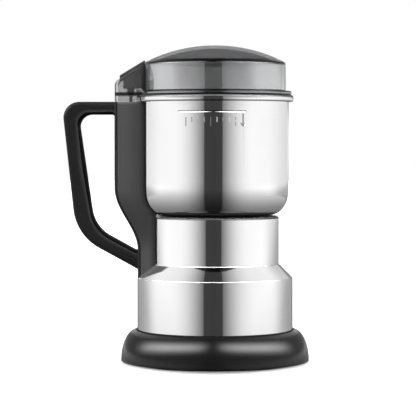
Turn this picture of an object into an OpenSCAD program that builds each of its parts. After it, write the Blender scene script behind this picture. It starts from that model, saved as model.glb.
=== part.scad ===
// Electric grain mill: a blade mill with a fixed steel bowl, a smoky clear lid and a side handle.
// Origin: on the mill's axis, on the surface that the mill stands on. +Z is up, and the handle points
// along -X.

/* [Base] */
// Diameter of the base at its foot
base_d = 125.4; // [118:0.1:140]
// Height of the base's top edge above the floor
base_h = 21.7; // [20:0.1:26]
// Wall of the base
base_wall = 2.4; // [1.8:0.1:3]
// Air gap under the base's skirt
skirt_gap = 0.6; // [0.4:0.1:1.5]
// Width of the rubber foot ring
foot_w = 6; // [4:0.5:8]
// Thickness of the bottom plate
plate_t = 2.2; // [1.6:0.1:3]
// Diameter of the mains lead that the gland takes
lead_d = 7; // [5.5:0.1:8]

/* [Housing] */
// Diameter of the housing's lower drum
drum_d = 103.6; // [98:0.1:110]
// Height of the drum's upper edge, where the shoulder starts
shoulder_z = 56.3; // [50:0.1:60]
// How far the neck stands inside the drum
shoulder_w = 9.3; // [7:0.1:11]
// Height of the neck's flat top
neck_top = 97.4; // [94:0.1:102]
// Thickness of the housing's and the bowl's sheet steel
sheet = 0.8; // [0.6:0.1:1.2]

/* [Bowl] */
// How far the bowl's wall stands inside the drum's
bowl_in = 2.8; // [1.5:0.1:4]
// Height of the bowl from its flat bottom to the top of its rim
bowl_h = 79.5; // [74:0.1:90]
// Outer radius of the bowl's bottom corner
bowl_corner = 16; // [12:0.5:20]
// How far the rolled rim stands out from the bowl's wall
rim_out = 3.2; // [2.6:0.1:4]
// How far the rim's lip turns down
rim_drop = 4.4; // [3.5:0.1:6]
// Thickness of the gasket between the neck and the bowl
gasket_t = 0.8; // [0.5:0.1:1.5]

/* [Lid] */
// How far the lid's band stands inside the bowl's wall
lid_in = 1.9; // [1.4:0.1:3]
// Height of the lid from the underside of its flange to the crown
lid_h = 33; // [30:0.1:36]
// Wall of the lid
lid_wall = 2.2; // [1.8:0.1:2.6]
// Radius of the dome
dome_r = 103; // [90:1:130]
// Radius of the edge between the band and the dome
dome_edge = 2.8; // [2.4:0.1:5]
// How far the flange stands out from the band
lid_flange_out = 3.8; // [3:0.1:4.5]
// Thickness of the lid's flange
lid_flange_t = 2.7; // [2:0.1:4]
// Depth of the lid's lip inside the bowl
lip_depth = 6; // [5:0.1:9]

/* [Press key] */
// Slope of the lug's roof and of the key on it
roof_slope = 31.3; // [26:0.1:36]
// Height of the key's plate over the lug's roof
key_stand = 2.4; // [2:0.1:3.6]
// Width of the key's plate
key_w = 18; // [14:0.5:20]
// Travel of the key
key_travel = 2.5; // [1.5:0.1:2.6]
// Thickness of the key's stem
stem_t = 1.8; // [1.4:0.1:2.4]
// Width of the key's stem
stem_w = 8; // [6:0.5:10]

/* [Handle] */
// Distance of the handle's spine from the bowl's wall
column_deep = 17.5; // [17:0.1:20]
// Distance of the spine from the neck at the foot
foot_deep = 8.7; // [7.5:0.1:10.5]
// Height at which the spine starts to bend in
bend_top = 116; // [108:1:125]
// Height at which the bend ends
bend_low = 75; // [70:1:80]
// Thickness of the spine
spine_t = 2; // [1.6:0.1:2.6]
// Width of the spine
spine_w = 23; // [20:0.5:26]
// Width of the column where it meets the bowl
cheek_w = 30; // [28:0.5:34]
// Extra width of the column at its foot
foot_flare = 9; // [4:0.5:12]
// Wall of the column
column_wall = 2.2; // [1.8:0.1:2.6]
// Distance of the grip's upper outer corner from the spine
grip_reach = 35.1; // [31:0.1:40]
// How far the grip's lower outer corner lies further in
grip_lean = 9.5; // [4:0.1:13]
// Height of the grip's lower outer corner
grip_low_z = 84.7; // [78:0.1:92]
// Slope of the lower arm
arm_slope = 28.8; // [24:0.1:33]
// Thickness of the grip's top arm
arm_t = 8.4; // [7:0.1:10]
// Thickness of the grip's leg at the top
leg_t = 10.5; // [8:0.1:13]
// Width of the grip
grip_w = 22; // [18:0.5:26]
// Radius of the grip's edges
grip_edge = 2.2; // [1:0.1:3]

/* [Motor] */
// Diameter of the motor shaft
shaft_d = 8; // [7:0.1:9]
// Outer diameter of the bearings
bearing_d = 22; // [20:0.1:24]
// Height of a bearing
bearing_h = 7; // [6:0.1:8]
// Height of the laminated stack
stack_h = 24; // [18:1:28]
// Height of the stack's underside
stack_z = 46; // [42:0.5:50]
// Diameter of the rotor
rotor_d = 31.6; // [28:0.1:34]
// Width of the stator across its side yokes
stator_w = 60; // [56:0.5:62]
// Depth of the stator across its poles
stator_l = 52; // [48:0.5:54]
// Diameter of the commutator
commutator_d = 18; // [15:0.5:20]
// Number of commutator bars
bars = 24; // [12:2:32]
// Diameter of the cooling fan
fan_d = 60; // [48:1:66]
// Number of fan blades
fan_blades = 9; // [5:1:13]

/* [Blades] */
// Length of the blades from tip to tip
blade_l = 76; // [60:1:84]
// Width of a blade at its hub
blade_w = 14; // [12:0.5:18]
// Thickness of a blade
blade_t = 1.5; // [1:0.1:2]
// Height of the blades' hub above the bowl's floor
blade_lift = 9; // [8:0.5:14]
// Upward bend of the upper blade's tips
tip_rise = 9; // [4:0.5:14]

/* [Fits] */
// Running clearance of a shaft in a seal or bush, on the radius
run_gap = 0.05; // [0.02:0.01:0.1]
// Gap between pieces that slide or lie close
gap = 0.3; // [0.2:0.05:0.5]

/* [Hidden] */
$fn = 96;
eps = 0.01;

base_r = base_d / 2;
drum_r = drum_d / 2;
neck_r = drum_r - shoulder_w;
shoulder_top = shoulder_z + drum_r - neck_r; // the shoulder leans at 45 degrees
neck_corner = 1.5;
bowl_r = drum_r - bowl_in;
bowl_z = neck_top + gasket_t;
bowl_floor = bowl_z + sheet;
rim_top = bowl_z + bowl_h;
rim_r = bowl_r + rim_out;
rim_corner = 1.5;

// Base
lip_r = drum_r + gap;
spigot_r = drum_r - sheet - gap;
spigot_wall = 2;
spigot_h = 6.3;
drum_seat = base_h - 3.7;
web_t = 2.4;
base_edge = 0.8;
plate_z = skirt_gap + 1;
plate_r = base_r - base_wall - 1;
foot_r = plate_r - 6;
foot_groove = 0.6;
base_screw_r = 1.5;
base_boss_r = 3.6;
base_head_r = 2.9;
base_boss_at = foot_r - foot_w / 2 - base_head_r - 1.9;
block_y = spigot_r - 13.7;
block_z = 20;
gland_r = lead_d / 2 + 1.5;
gland_lip = 0.7;
gland_z = plate_z + plate_t + gland_r + gland_lip + 0.6;
gland_room = spigot_r - 12.7;
lead_bore_r = lead_d / 2 + 0.1;

// Lid
lid_r = bowl_r - lid_in;
lid_z = rim_top + 0.05;
lid_top = lid_z + lid_h;
lip_r_out = bowl_r - sheet - 1.6;
seal_r = bowl_r - sheet - 0.2;
seal_h = 2;
flange_r = lid_r + lid_flange_out;
band_edge_z = lid_top - (dome_r - sqrt(pow(dome_r, 2) - pow(lid_r, 2)));

// Handle
spine_out = bowl_r + column_deep;
spine_low = neck_r + foot_deep;
grip_out = spine_out + grip_reach;
grip_low = grip_out - grip_lean;
rim_low = rim_top - rim_drop;
grip_top = rim_low - 0.1;
deck_t = 2.1;
column_out = spine_out - spine_t;
stem_x = -(spine_out - 10.5);
slot_gap = 0.5;
leg_low_t = leg_t + 1.3;
arm_low_rise = 5;
outer_corner = 10.5;
outer_bend = 33;
inner_corner = 8;
inner_bend = 24;
column_steps = 30;
cheek_steps = 6;

// Lug and key
lug_z = grip_top + gap;
lug_floor = rim_top - 0.3;
lug_floor_t = 1.9;
lug_wall = 2;
lug_x = -(spine_out - 0.2);
roof_x = -(lid_r + 0.4);
roof_z = lid_z + 20;
key_x0 = -(spine_out - 3.4);
key_x1 = -(lid_r - 1);
key_gap = 0.4;
chimney_top = lug_floor + 7.5;
key_block_w = 16;
key_foot_z = chimney_top + key_travel + 0.6;
key_block_z = lug_floor + lug_floor_t + key_travel + 0.3;
key_spring_x = -(lid_r + 3.6);
key_spring_top = lug_floor + 9.5;
key_step_x = stem_x + stem_t / 2 + key_gap + 1 + gap;
key_cheek_y = stem_w / 2 + 2 * key_gap + 1;
key_cheek_z = lug_floor + lug_floor_t + key_travel + 0.4;
stem_low = grip_top - 5;
barb_z = lug_floor - 0.15;

// Switch in the column
plunger_top = stem_low - 0.1;
plunger_w = 9;
plunger_t = 4.4;
plunger_rod = 3;
plunger_head = 3.4;
guide_z = plunger_top - plunger_head - key_travel - 4.6;
guide_t = 2;
rod_low = guide_z - 6.4;
lever_arm = 8.5;
lever_rest = 16;
lever_t = 0.5;
lever_l = 15;
hinge_z = rod_low - (lever_arm + plunger_rod / 2) * tan(lever_rest) - lever_t / 2 / cos(lever_rest) - 0.1;
switch_w = 6.4;
switch_l = 20;
switch_h = 10.2;
switch_z = hinge_z - 2.6 - switch_h;
switch_x = -(spine_out - 10.5);
button_r = 0.9;
button_arm = 3.5;
button_z = hinge_z - 0.26;
column_screw_r = 1.6;
column_screw_z = [shoulder_z + 13.7, shoulder_z + 34.7];
grommet_z = shoulder_z + 24.2;
grommet_r = 4;
column_low = shoulder_z - 1;

// Motor
shaft_r = shaft_d / 2;
bearing_r = bearing_d / 2;
bracket_t = 3;
bracket_top = neck_top - sheet;
bracket_r = 31;
seat_wall = 3;
bearing_z = bracket_top - bracket_t - bearing_h - 1;
sleeve_r = 9;
sleeve_top = bowl_floor + 5.5;
seal_seat_r = 7;
seal_seat_h = 3.2;
nut_af = 26;
nut_h = 4;
stack_top = stack_z + stack_h;
rotor_r = rotor_d / 2;
air_gap = 0.5;
bolt_at = stator_w / 2 - 4;
bolt_r = 2;
post_r = 3.6;
coil_over = 7;
coil_in = 12.2;
coil_out = 20.5;
shoe_r = rotor_r + air_gap + 3;
yoke = 4.4;
coil_y0 = sqrt(pow(shoe_r, 2) - pow(coil_in, 2)) + 0.4;
coil_y1 = stator_l / 2 - yoke - 0.1;
window_x = stator_w / 2 - 8;
commutator_r = commutator_d / 2;
commutator_h = 9;
commutator_z = stack_z - coil_over - 11.5;
bridge_z = commutator_z - 5.5;
bridge_t = 3;
bridge_r = 33;
low_bearing_z = bridge_z - bearing_h + 2;
fan_h = 7;
fan_top = low_bearing_z - 2.2;
fan_z = fan_top - fan_h;
shaft_low = fan_z - 1;
brush_z = commutator_z + commutator_h / 2;
brush_t = 5;
brush_w = 6.4;
brush_l = 12;
holder_wall = 0.8;
holder_in = commutator_r + 2;
holder_end = commutator_r + brush_l + 5;
brush_out = holder_end;

// Blades
hub_z = bowl_floor + blade_lift;
thread_r = 3;
cap_h = 7.5;
shaft_top = hub_z + 2 * blade_t + 5.5;
hub_r = 6.5;

// Node to draw

black = [0.09, 0.09, 0.095];
steel = [0.80, 0.80, 0.80];
smoke = [0.45, 0.46, 0.48, 0.5];
rubber = [0.13, 0.13, 0.13];
copper = [0.72, 0.38, 0.2];
iron = [0.42, 0.43, 0.45];
brass = [0.78, 0.62, 0.32];

// ---------- helpers ----------
function arc(c, r, a0, a1, n = 8) = [for (i = [0 : n]) let (a = a0 + (a1 - a0) * i / n)
    c + r * [cos(a), sin(a)]];

function ellipse_arc(c, rx, ry, a0, a1, n = 12) =
    [for (i = [0 : n]) let (a = a0 + (a1 - a0) * i / n) c + [rx * cos(a), ry * sin(a)]];

function unit(v) = v / norm(v);

// Replaces the corner b of the path a-b-c with an arc of radius r.
function corner(a, b, c, r, n = 8) =
    let (u = unit(a - b), v = unit(c - b), half = acos(u * v) / 2,
         m = b + unit(u + v) * r / sin(half),
         p = b + u * r / tan(half), q = b + v * r / tan(half),
         a0 = atan2(p.y - m.y, p.x - m.x), turn = atan2(q.y - m.y, q.x - m.x) - a0,
         sweep = turn > 180 ? turn - 360 : turn < -180 ? turn + 360 : turn)
    arc(m, r, a0, a0 + sweep, n);

// Closed outline with its corners rounded: corners is a list of [point, radius].
function rounded(corners) = [for (i = [0 : len(corners) - 1])
    let (n = len(corners), here = corners[i])
    each (here[1] == 0 ? [here[0]]
        : corner(corners[(i + n - 1) % n][0], here[0], corners[(i + 1) % n][0], here[1]))];

// Skin over a list of closed rings that have the same number of points.
module loft(rings) {
    n = len(rings[0]);
    m = len(rings);
    sides = [for (i = [0 : m - 2], j = [0 : n - 1]) each [
        [i * n + j, (i + 1) * n + j, (i + 1) * n + (j + 1) % n],
        [i * n + j, (i + 1) * n + (j + 1) % n, i * n + (j + 1) % n]]];
    polyhedron([for (r = rings) each r],
        concat(sides, [[for (j = [0 : n - 1]) j]], [[for (j = [n - 1 : -1 : 0]) (m - 1) * n + j]]),
        convexity = 6);
}

// Round bar of radius r along a list of points, with a flat ring at each point.
module bar(points, r, sides = 8, up = [0, 1, 0]) {
    last = len(points) - 1;
    loft([for (i = [0 : last])
        let (d = unit(points[min(i + 1, last)] - points[max(i - 1, 0)]),
             u = unit(cross(d, up)), v = cross(d, u))
        [for (k = [0 : sides - 1]) let (a = 360 * k / sides) points[i] + r * (u * cos(a) + v * sin(a))]]);
}

// Coil spring that stands on z = 0. Its end turns lie close, one wire over the other.
module coil_spring(r, wire, h, turns, steps = 12) {
    n = turns * steps;
    close = 2.2 * wire;
    rise = h - 2 * wire;
    bar([for (i = [0 : n])
        let (p = i / steps,
             z = p < 1 ? close * p : p > turns - 1 ? rise - close * (turns - p)
                 : close + (rise - 2 * close) * (p - 1) / (turns - 2))
        [r * cos(360 * p), r * sin(360 * p), wire + z]], wire, 6, [0, 0, 1]);
}

module around(n, r, start = 0) {
    for (i = [0 : n - 1]) rotate(start + 360 * i / n) translate([r, 0, 0]) children();
}

module tube(r_out, r_in, h) {
    difference() {
        cylinder(r = r_out, h = h);
        translate([0, 0, -eps]) cylinder(r = r_in, h = h + 2 * eps);
    }
}

module pan_screw(shank_r, length, head_r, head_h) {
    translate([0, 0, -length]) cylinder(r = shank_r, h = length);
    difference() {
        cylinder(r = head_r, h = head_h);
        translate([-head_r * 0.6, -0.4, head_h - 0.5]) cube([head_r * 1.2, 0.8, 1]);
        translate([-0.4, -head_r * 0.6, head_h - 0.5]) cube([0.8, head_r * 1.2, 1]);
    }
}

// ---------- base ----------
function base_outline() = concat(
    arc([base_r - base_edge, skirt_gap + base_edge], base_edge, -90, 0, 4),
    ellipse_arc([lip_r + 0.5, skirt_gap + base_edge], base_r - lip_r - 0.5, base_h - skirt_gap - base_edge,
        4, 90, 15));

module base() color(black) difference() {
    union() {
        rotate_extrude() polygon(concat(
            [[base_r - base_wall, skirt_gap]], base_outline(),
            [[lip_r, base_h], [lip_r, drum_seat], [spigot_r, drum_seat],
                [spigot_r, drum_seat + spigot_h + 4],
             [spigot_r - spigot_wall, drum_seat + spigot_h + 4], [spigot_r - spigot_wall, plate_z + plate_t],
             [spigot_r, plate_z + plate_t], [spigot_r, drum_seat - web_t],
             [base_r - base_wall - 4, drum_seat - web_t], [base_r - base_wall - 1.6, base_h * 0.44]]));
        around(3, base_boss_at, 30) translate([0, 0, plate_z + plate_t + gap])
            cylinder(r = base_boss_r, h = 14);
        // ribs from the bosses to the collar
        around(3, 0, 30) translate([base_boss_at, -1.2, plate_z + plate_t + gap])
            cube([spigot_r - 0.6 - base_boss_at, 2.4, 14]);
        // flat seat of the gland
        translate([0, base_r - 4.8, gland_z]) rotate([-90, 0, 0]) cylinder(r = gland_r + 2, h = 2.2);
        // shelf of the terminal block
        intersection() {
            translate([-12, block_y, block_z - 2]) cube([24, spigot_r - block_y, 2]);
            cylinder(r = spigot_r - 0.6, h = base_h + 8);
        }
    }
    around(3, base_boss_at, 30) translate([0, 0, plate_z + plate_t - eps])
        cylinder(r = base_screw_r - 0.2, h = 11);
    // hole, spot face and inner room of the gland
    translate([0, 0, gland_z]) rotate([-90, 0, 0]) cylinder(r = gland_r, h = base_r + 5);
    translate([0, base_r - 2.6, gland_z]) rotate([-90, 0, 0]) cylinder(r = gland_r + 1.5, h = 8);
    translate([0, gland_room, gland_z]) rotate([-90, 0, 0])
        cylinder(r = gland_r + gland_lip + 0.1, h = base_r - 4.8 - gland_room);
    for (x = [-6, 6]) translate([x, block_y + 4.5, block_z - 3]) cylinder(r = 1.1, h = 4);
}

module bottom_plate() color(black) difference() {
    translate([0, 0, plate_z]) cylinder(r = plate_r, h = plate_t);
    translate([0, 0, plate_z - eps]) tube_cut(foot_r, foot_w, foot_groove);
    // air slots under the fan, in two rings
    for (ring = [0 : 1]) around(18, 15 + 10 * ring, 10 * ring) translate([-3.4, 0, plate_z - 1])
        slot_bar(6.8, 2.6, plate_t + 2);
    around(3, base_boss_at, 30) translate([0, 0, plate_z - 1])
        cylinder(r = base_screw_r + 0.2, h = plate_t + 2);
    around(3, base_boss_at, 30) translate([0, 0, plate_z - 1]) cylinder(r = base_head_r + 0.3, h = 2);
}

module tube_cut(r, w, h) difference() {
    cylinder(r = r + w / 2, h = h);
    translate([0, 0, -1]) cylinder(r = r - w / 2, h = h + 2);
}

module slot_bar(l, w, h) {
    translate([w / 2, -w / 2, 0]) cube([l - w, w, h]);
    for (x = [w / 2, l - w / 2]) translate([x, 0, 0]) cylinder(d = w, h = h);
}

module foot_ring() color(rubber)
    rotate_extrude() polygon([[foot_r - foot_w / 2 + 0.5, 0], [foot_r + foot_w / 2 - 0.5, 0],
        [foot_r + foot_w / 2 - 0.05, 0.5], [foot_r + foot_w / 2 - 0.05, plate_z + foot_groove - 0.05],
        [foot_r - foot_w / 2 + 0.05, plate_z + foot_groove - 0.05], [foot_r - foot_w / 2 + 0.05, 0.5]]);

module base_screws() color(iron)
    around(3, base_boss_at, 30) translate([0, 0, plate_z + 1]) mirror([0, 0, 1])
        pan_screw(base_screw_r - 0.2, 9.5, base_head_r, 0.9);

module cord_gland() color(rubber)
    translate([0, 0, gland_z]) rotate([-90, 0, 0]) difference() {
        union() {
            translate([0, 0, base_r - 7.4]) cylinder(r = gland_r - 0.05, h = 7.4);
            translate([0, 0, base_r - 2.55]) cylinder(r = gland_r + 1.4, h = 4);
            translate([0, 0, base_r - 7.4]) cylinder(r1 = gland_r - 0.3, r2 = gland_r + gland_lip, h = 2.4);
        }
        translate([0, 0, base_r - 12]) cylinder(r = lead_bore_r, h = 20);
    }

module terminal_block() color([0.85, 0.85, 0.8]) translate([0, block_y, block_z]) {
    difference() {
        union() {
            translate([-10, 0, 0]) cube([20, 7.6, 5]);
            for (x = [-6, 0, 6]) translate([x, 3.8, 4]) tube(2.6, 1.6, 4);
        }
        for (x = [-6, 0, 6]) translate([x, -1, 2.6]) rotate([-90, 0, 0]) cylinder(r = 1.3, h = 10);
    }
    for (x = [-6, 6]) translate([x, 4.5, -1.9]) cylinder(r = 1, h = 2);
    color(brass) for (x = [-6, 0, 6]) translate([x, 3.8, 4]) cylinder(r = 1.6, h = 2.6);
}

// ---------- housing and bowl ----------
// Sheet outline of the housing: the outside, then the same path one sheet further in.
module drum_housing() color(steel) difference() {
    rotate_extrude() polygon(concat(
        [[drum_r, drum_seat], [drum_r, shoulder_z], [neck_r, shoulder_top]],
        arc([neck_r - neck_corner, neck_top - neck_corner], neck_corner, 0, 90, 6),
        [[sleeve_r + 0.3, neck_top], [sleeve_r + 0.3, neck_top - sheet]],
        [[neck_r - neck_corner, neck_top - sheet], [neck_r - sheet, neck_top - neck_corner],
         [neck_r - sheet, shoulder_top - sheet * 0.4], [drum_r - sheet, shoulder_z - sheet * 0.4],
         [drum_r - sheet, drum_seat]]));
    for (z = column_screw_z) translate([0, 0, z]) rotate([0, -90, 0])
        cylinder(r = column_screw_r + 0.2, h = neck_r + 5);
    translate([0, 0, grommet_z]) rotate([0, -90, 0]) cylinder(r = grommet_r, h = neck_r + 5);
}

module bowl_gasket() color(rubber) translate([0, 0, neck_top])
    tube(bowl_r - bowl_corner - 1, sleeve_r + 0.3, gasket_t);

function bowl_outside() = concat(
    [[sleeve_r + 0.2, bowl_z]], arc([bowl_r - bowl_corner, bowl_z + bowl_corner], bowl_corner, -90, 0, 12));

module bowl() color(steel) rotate_extrude() polygon(concat(
    bowl_outside(),
    [[bowl_r, rim_top - sheet]],
    arc([rim_r - rim_corner, rim_top - rim_corner], rim_corner - sheet, 90, 0, 5),
    arc([rim_r - rim_corner, rim_low + rim_corner], rim_corner - sheet, 0, -90, 5),
    [[bowl_r + 0.4, rim_low + sheet], [bowl_r + 0.4, rim_low]],
    arc([rim_r - rim_corner, rim_low + rim_corner], rim_corner, -90, 0, 6),
    arc([rim_r - rim_corner, rim_top - rim_corner], rim_corner, 0, 90, 6),
    arc([bowl_r - sheet + 1, rim_top - 1], 1, 90, 180, 4),
    arc([bowl_r - bowl_corner, bowl_z + bowl_corner], bowl_corner - sheet, 0, -90, 12),
    [[sleeve_r + 0.2, bowl_floor]]));

module bowl_nut() color(steel) translate([0, 0, bowl_floor]) difference() {
    intersection() {
        cylinder(d = nut_af / cos(30), h = nut_h, $fn = 6);
        translate([0, 0, -1]) cylinder(r1 = nut_af / 2 + 6, r2 = nut_af / 2 + 0.6, h = nut_h + 1);
    }
    translate([0, 0, -1]) cylinder(r = sleeve_r, h = nut_h + 2);
}

module shaft_seal() color(rubber) translate([0, 0, sleeve_top - seal_seat_h]) difference() {
    union() {
        cylinder(r = seal_seat_r, h = seal_seat_h);
        translate([0, 0, seal_seat_h]) cylinder(r1 = seal_seat_r, r2 = shaft_r + 1, h = 1.4);
    }
    translate([0, 0, -1]) cylinder(r = shaft_r + run_gap, h = seal_seat_h + 4);
}

// ---------- handle ----------
// The spine's distance from the axis at a height: straight, then one smooth S, then straight.
function spine(z) = z >= bend_top ? spine_out : z <= bend_low ? spine_low
    : (spine_out + spine_low) / 2 +
        (spine_out - spine_low) / 2 * cos(180 * (bend_top - z) / (bend_top - bend_low));

function flare(z) = foot_flare / 2 * max(0, min(1, (bend_top - z) / (bend_top - shoulder_z)));

// One level of the column: a flat back at the spine and cheeks that bow out towards the bowl.
function cheek(z, inset) = let (x0 = -(spine(z) - spine_t - inset), deep = 18,
    w0 = spine_w / 2 - inset, w1 = cheek_w / 2 + flare(z) - inset)
    concat([for (i = [0 : cheek_steps]) let (t = i / cheek_steps)
        [x0 + deep * t, w0 + (w1 - w0) * sin(90 * t)]],
        [[-neck_r + 12, w1]]);

// Heights of the column's rings, which the strip on its back shares.
column_levels = [for (i = [0 : column_steps]) column_low + (grip_top - column_low) * i / column_steps];

function reversed(v) = [for (i = [len(v) - 1 : -1 : 0]) v[i]];

// Full section, and the section of the wall alone, which is open towards the bowl.
function full_ring(z, inset) = let (c = cheek(z, inset))
    concat([for (p = c) [p.x, -p.y, z]], [for (p = reversed(c)) [p.x, p.y, z]]);
function wall_ring(z) = let (a = cheek(z, 0), b = cheek(z, column_wall))
    concat([for (p = a) [p.x, -p.y, z]], [for (p = reversed(b)) [p.x, -p.y, z]],
        [for (p = b) [p.x, p.y, z]], [for (p = reversed(a)) [p.x, p.y, z]]);

// Height where the bowl's corner, one gap larger, crosses the neck, one gap larger.
function bowl_meets_neck(g) =
    bowl_z + bowl_corner - sqrt(pow(bowl_corner + g, 2) - pow(neck_r + g - bowl_r + bowl_corner, 2));

// The bowl, neck and shoulder, one gap larger: what the handle and the lug fit round.
module body_room(g) rotate_extrude() polygon(concat(
    [[0, shoulder_z - 20], [drum_r + g, shoulder_z - 20], [drum_r + g, shoulder_z + g * 0.4],
     [neck_r + g, shoulder_top + g * 0.4], [neck_r + g, bowl_meets_neck(g)]],
    [for (p = arc([bowl_r - bowl_corner, bowl_z + bowl_corner], bowl_corner + g, -60, 0, 8))
        if (p.x > neck_r + g) p],
    [[bowl_r + g, rim_top + 5], [0, rim_top + 5]]));

module handle_column() color(black) difference() {
    union() {
        loft([for (z = column_levels) wall_ring(z)]);
        translate([0, 0, grip_top - deck_t]) linear_extrude(deck_t)
            polygon([for (p = full_ring(grip_top, 0)) [p.x, p.y]]);
        // guide for the plunger, pegs for the switch, posts for the screws
        translate([-column_out + 1, -spine_w / 2 + 1, guide_z])
            cube([column_out - bowl_r - 1, spine_w - 2, guide_t]);
        for (y = [-1, 1]) translate([-column_out + 1, y * switch_l / 4, switch_z + 3]) rotate([0, 90, 0])
            cylinder(r = 1, h = switch_x + switch_w / 2 - 0.8 + column_out - 1);
        for (z = column_screw_z) translate([0, 0, z]) rotate([0, -90, 0])
            cylinder(r = 3.4, h = spine(z) - spine_t - 1);
    }
    body_room(gap);
    translate([0, 0, column_screw_z[0]]) rotate([0, -90, 0])
        cylinder(r = column_screw_r - 0.1, h = spine_out);
    translate([0, 0, column_screw_z[1]]) rotate([0, -90, 0])
        cylinder(r = 1.3, h = spine(column_screw_z[1]) - spine_t - 1);
    translate([stem_x - stem_t / 2 - slot_gap, -stem_w / 2 - slot_gap, grip_top - deck_t - 1])
        cube([stem_t + 2 * slot_gap, stem_w + 2 * slot_gap, deck_t + 2]);
    translate([stem_x, 0, guide_z - 1]) cylinder(r = plunger_rod / 2 + 0.05, h = guide_t + 2);
    translate([-spine_out - 1, 0, grip_screw_z]) rotate([0, 90, 0]) cylinder(r = 1.4, h = 8);
}

grip_screw_z = grip_top - arm_t / 2 - 1;
arm_dir = [cos(arm_slope), -sin(arm_slope)];
grip_p2 = [-grip_low, grip_low_z];
grip_q2 = [-grip_low + leg_low_t, grip_low_z + arm_low_rise];

// Where a line from p along the lower arm reaches the middle of the spine.
function arm_end(p) = p + arm_dir * ((-spine_low + spine_t / 2 - p.x) / arm_dir.x);

grip_outside = concat([[-spine_out + spine_t / 2, grip_top]],
    corner([-spine_out, grip_top], [-grip_out, grip_top], grip_p2, outer_corner, 8),
    corner([-grip_out, grip_top], grip_p2, arm_end(grip_p2), outer_bend, 9), [arm_end(grip_p2)]);
grip_inside = concat([[-spine_out + spine_t / 2, grip_top - arm_t]],
    corner([-spine_out, grip_top - arm_t], [-grip_out + leg_t, grip_top - arm_t], grip_q2, inner_corner, 8),
    corner([-grip_out + leg_t, grip_top - arm_t], grip_q2, arm_end(grip_q2), inner_bend, 9),
        [arm_end(grip_q2)]);

// Section of the grip between an outer point p and an inner point q, with rounded edges.
function grip_ring(p, q) =
    let (m = (p + q) / 2, u = unit(q - p), h = norm(q - p) / 2, w = grip_w / 2, e = grip_edge)
    [for (c = [[1, 1, 0], [-1, 1, 90], [-1, -1, 180], [1, -1, 270]])
        each [for (a = [0 : 22.5 : 90])
            let (s = c[0] * (h - e) + e * cos(c[2] + a), t = c[1] * (w - e) + e * sin(c[2] + a))
            [m.x + u.x * s, -t, m.y + u.y * s]]];

module grip_strip() {
    line = [for (z = column_levels) max(z, column_low + 1.2)];
    rotate([90, 0, 0]) linear_extrude(spine_w, center = true)
        polygon(concat([for (z = line) [-spine(z), z]], [for (z = reversed(line))
            [-spine(z) + spine_t, z]]));
}

module handle_grip() color(black) difference() {
    union() {
        loft([for (i = [0 : len(grip_outside) - 1]) grip_ring(grip_outside[i], grip_inside[i])]);
        grip_strip();
    }
    translate([-spine_out - 12, 0, grip_screw_z]) rotate([0, 90, 0]) cylinder(r = 1.3, h = 20);
    translate([-spine_low - 10, 0, column_screw_z[0]]) rotate([0, 90, 0]) cylinder(r = 1.3, h = 20);
    body_room(gap);
}

// A flat head of radius r lies this far from the axis on the neck's curved inside.
function on_neck(r) = sqrt(pow(neck_r - sheet, 2) - pow(r, 2)) - 0.05;

module column_screws() color(iron) {
    head = on_neck(3.2);
    translate([-head, 0, column_screw_z[0]]) rotate([0, 90, 0])
        pan_screw(1.3, spine_low - head + 7, 3.2, 1.8);
    translate([-head, 0, column_screw_z[1]]) rotate([0, 90, 0]) pan_screw(1.3, 7, 3.2, 1.8);
}

module grip_screw() color(iron)
    translate([-column_out + column_wall, 0, grip_screw_z]) rotate([0, 90, 0]) pan_screw(1.3, 12, 2.4, 1.6);

module wire_grommet() color(rubber) translate([-neck_r, 0, grommet_z]) rotate([0, 90, 0]) difference() {
    union() {
        translate([0, 0, -1.2]) cylinder(r = grommet_r - 0.05, h = 4);
        translate([0, 0, neck_r - on_neck(grommet_r + 1)]) cylinder(r = grommet_r + 1, h = 1.2);
    }
    translate([0, 0, -5]) cylinder(r = 2.9, h = 20);
}

module switch_plunger() color([0.85, 0.85, 0.82]) translate([stem_x, 0, 0]) {
    translate([-plunger_t / 2, -plunger_w / 2, plunger_top - plunger_head])
        cube([plunger_t, plunger_w, plunger_head]);
    translate([0, 0, rod_low]) cylinder(d = plunger_rod, h = plunger_top - plunger_head - rod_low + 0.1);
}

module plunger_spring() color(iron)
    translate([stem_x, 0, guide_z + guide_t])
        coil_spring(2, 0.3, plunger_top - plunger_head - guide_z - guide_t, 5);

module microswitch() color([0.2, 0.2, 0.21]) translate([switch_x, 0, switch_z]) difference() {
    union() {
        translate([-switch_w / 2, -switch_l / 2, 0]) cube([switch_w, switch_l, switch_h]);
        // ears of the lever's hinge, and the terminals
        for (s = [-1, 1]) translate([s * 2.4 - 0.4, -lever_arm - 1.2, switch_h - 0.5])
            cube([0.8, 2.4, 4.4]);
        for (y = [-7.5, 0, 7.5]) translate([-1.6, y - 0.3, -3.4]) cube([3.2, 0.6, 3.6]);
    }
    for (y = [-1, 1]) translate([-5, y * switch_l / 4, 3]) rotate([0, 90, 0]) cylinder(r = 1.05, h = 10);
    translate([0, -lever_arm + button_arm, switch_h - 2.6]) cylinder(r = button_r + run_gap, h = 4);
    translate([-5, -lever_arm, switch_h + 2.6]) rotate([0, 90, 0]) cylinder(r = 0.55 + run_gap, h = 10);
}

module switch_button() color([0.8, 0.2, 0.15]) translate([switch_x, -lever_arm + button_arm, 0]) {
    translate([0, 0, button_z - 3.2]) cylinder(r = button_r, h = 3.2);
    translate([0, 0, button_z]) sphere(r = button_r, $fn = 32);
}

module switch_lever() color(iron) translate([switch_x, -lever_arm, hinge_z]) rotate([lever_rest, 0, 0]) {
    translate([-1.6, -0.5, -lever_t / 2]) cube([3.2, lever_l, lever_t]);
    rotate([0, 90, 0]) cylinder(r = 0.55, h = 5.4, center = true);
}

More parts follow.
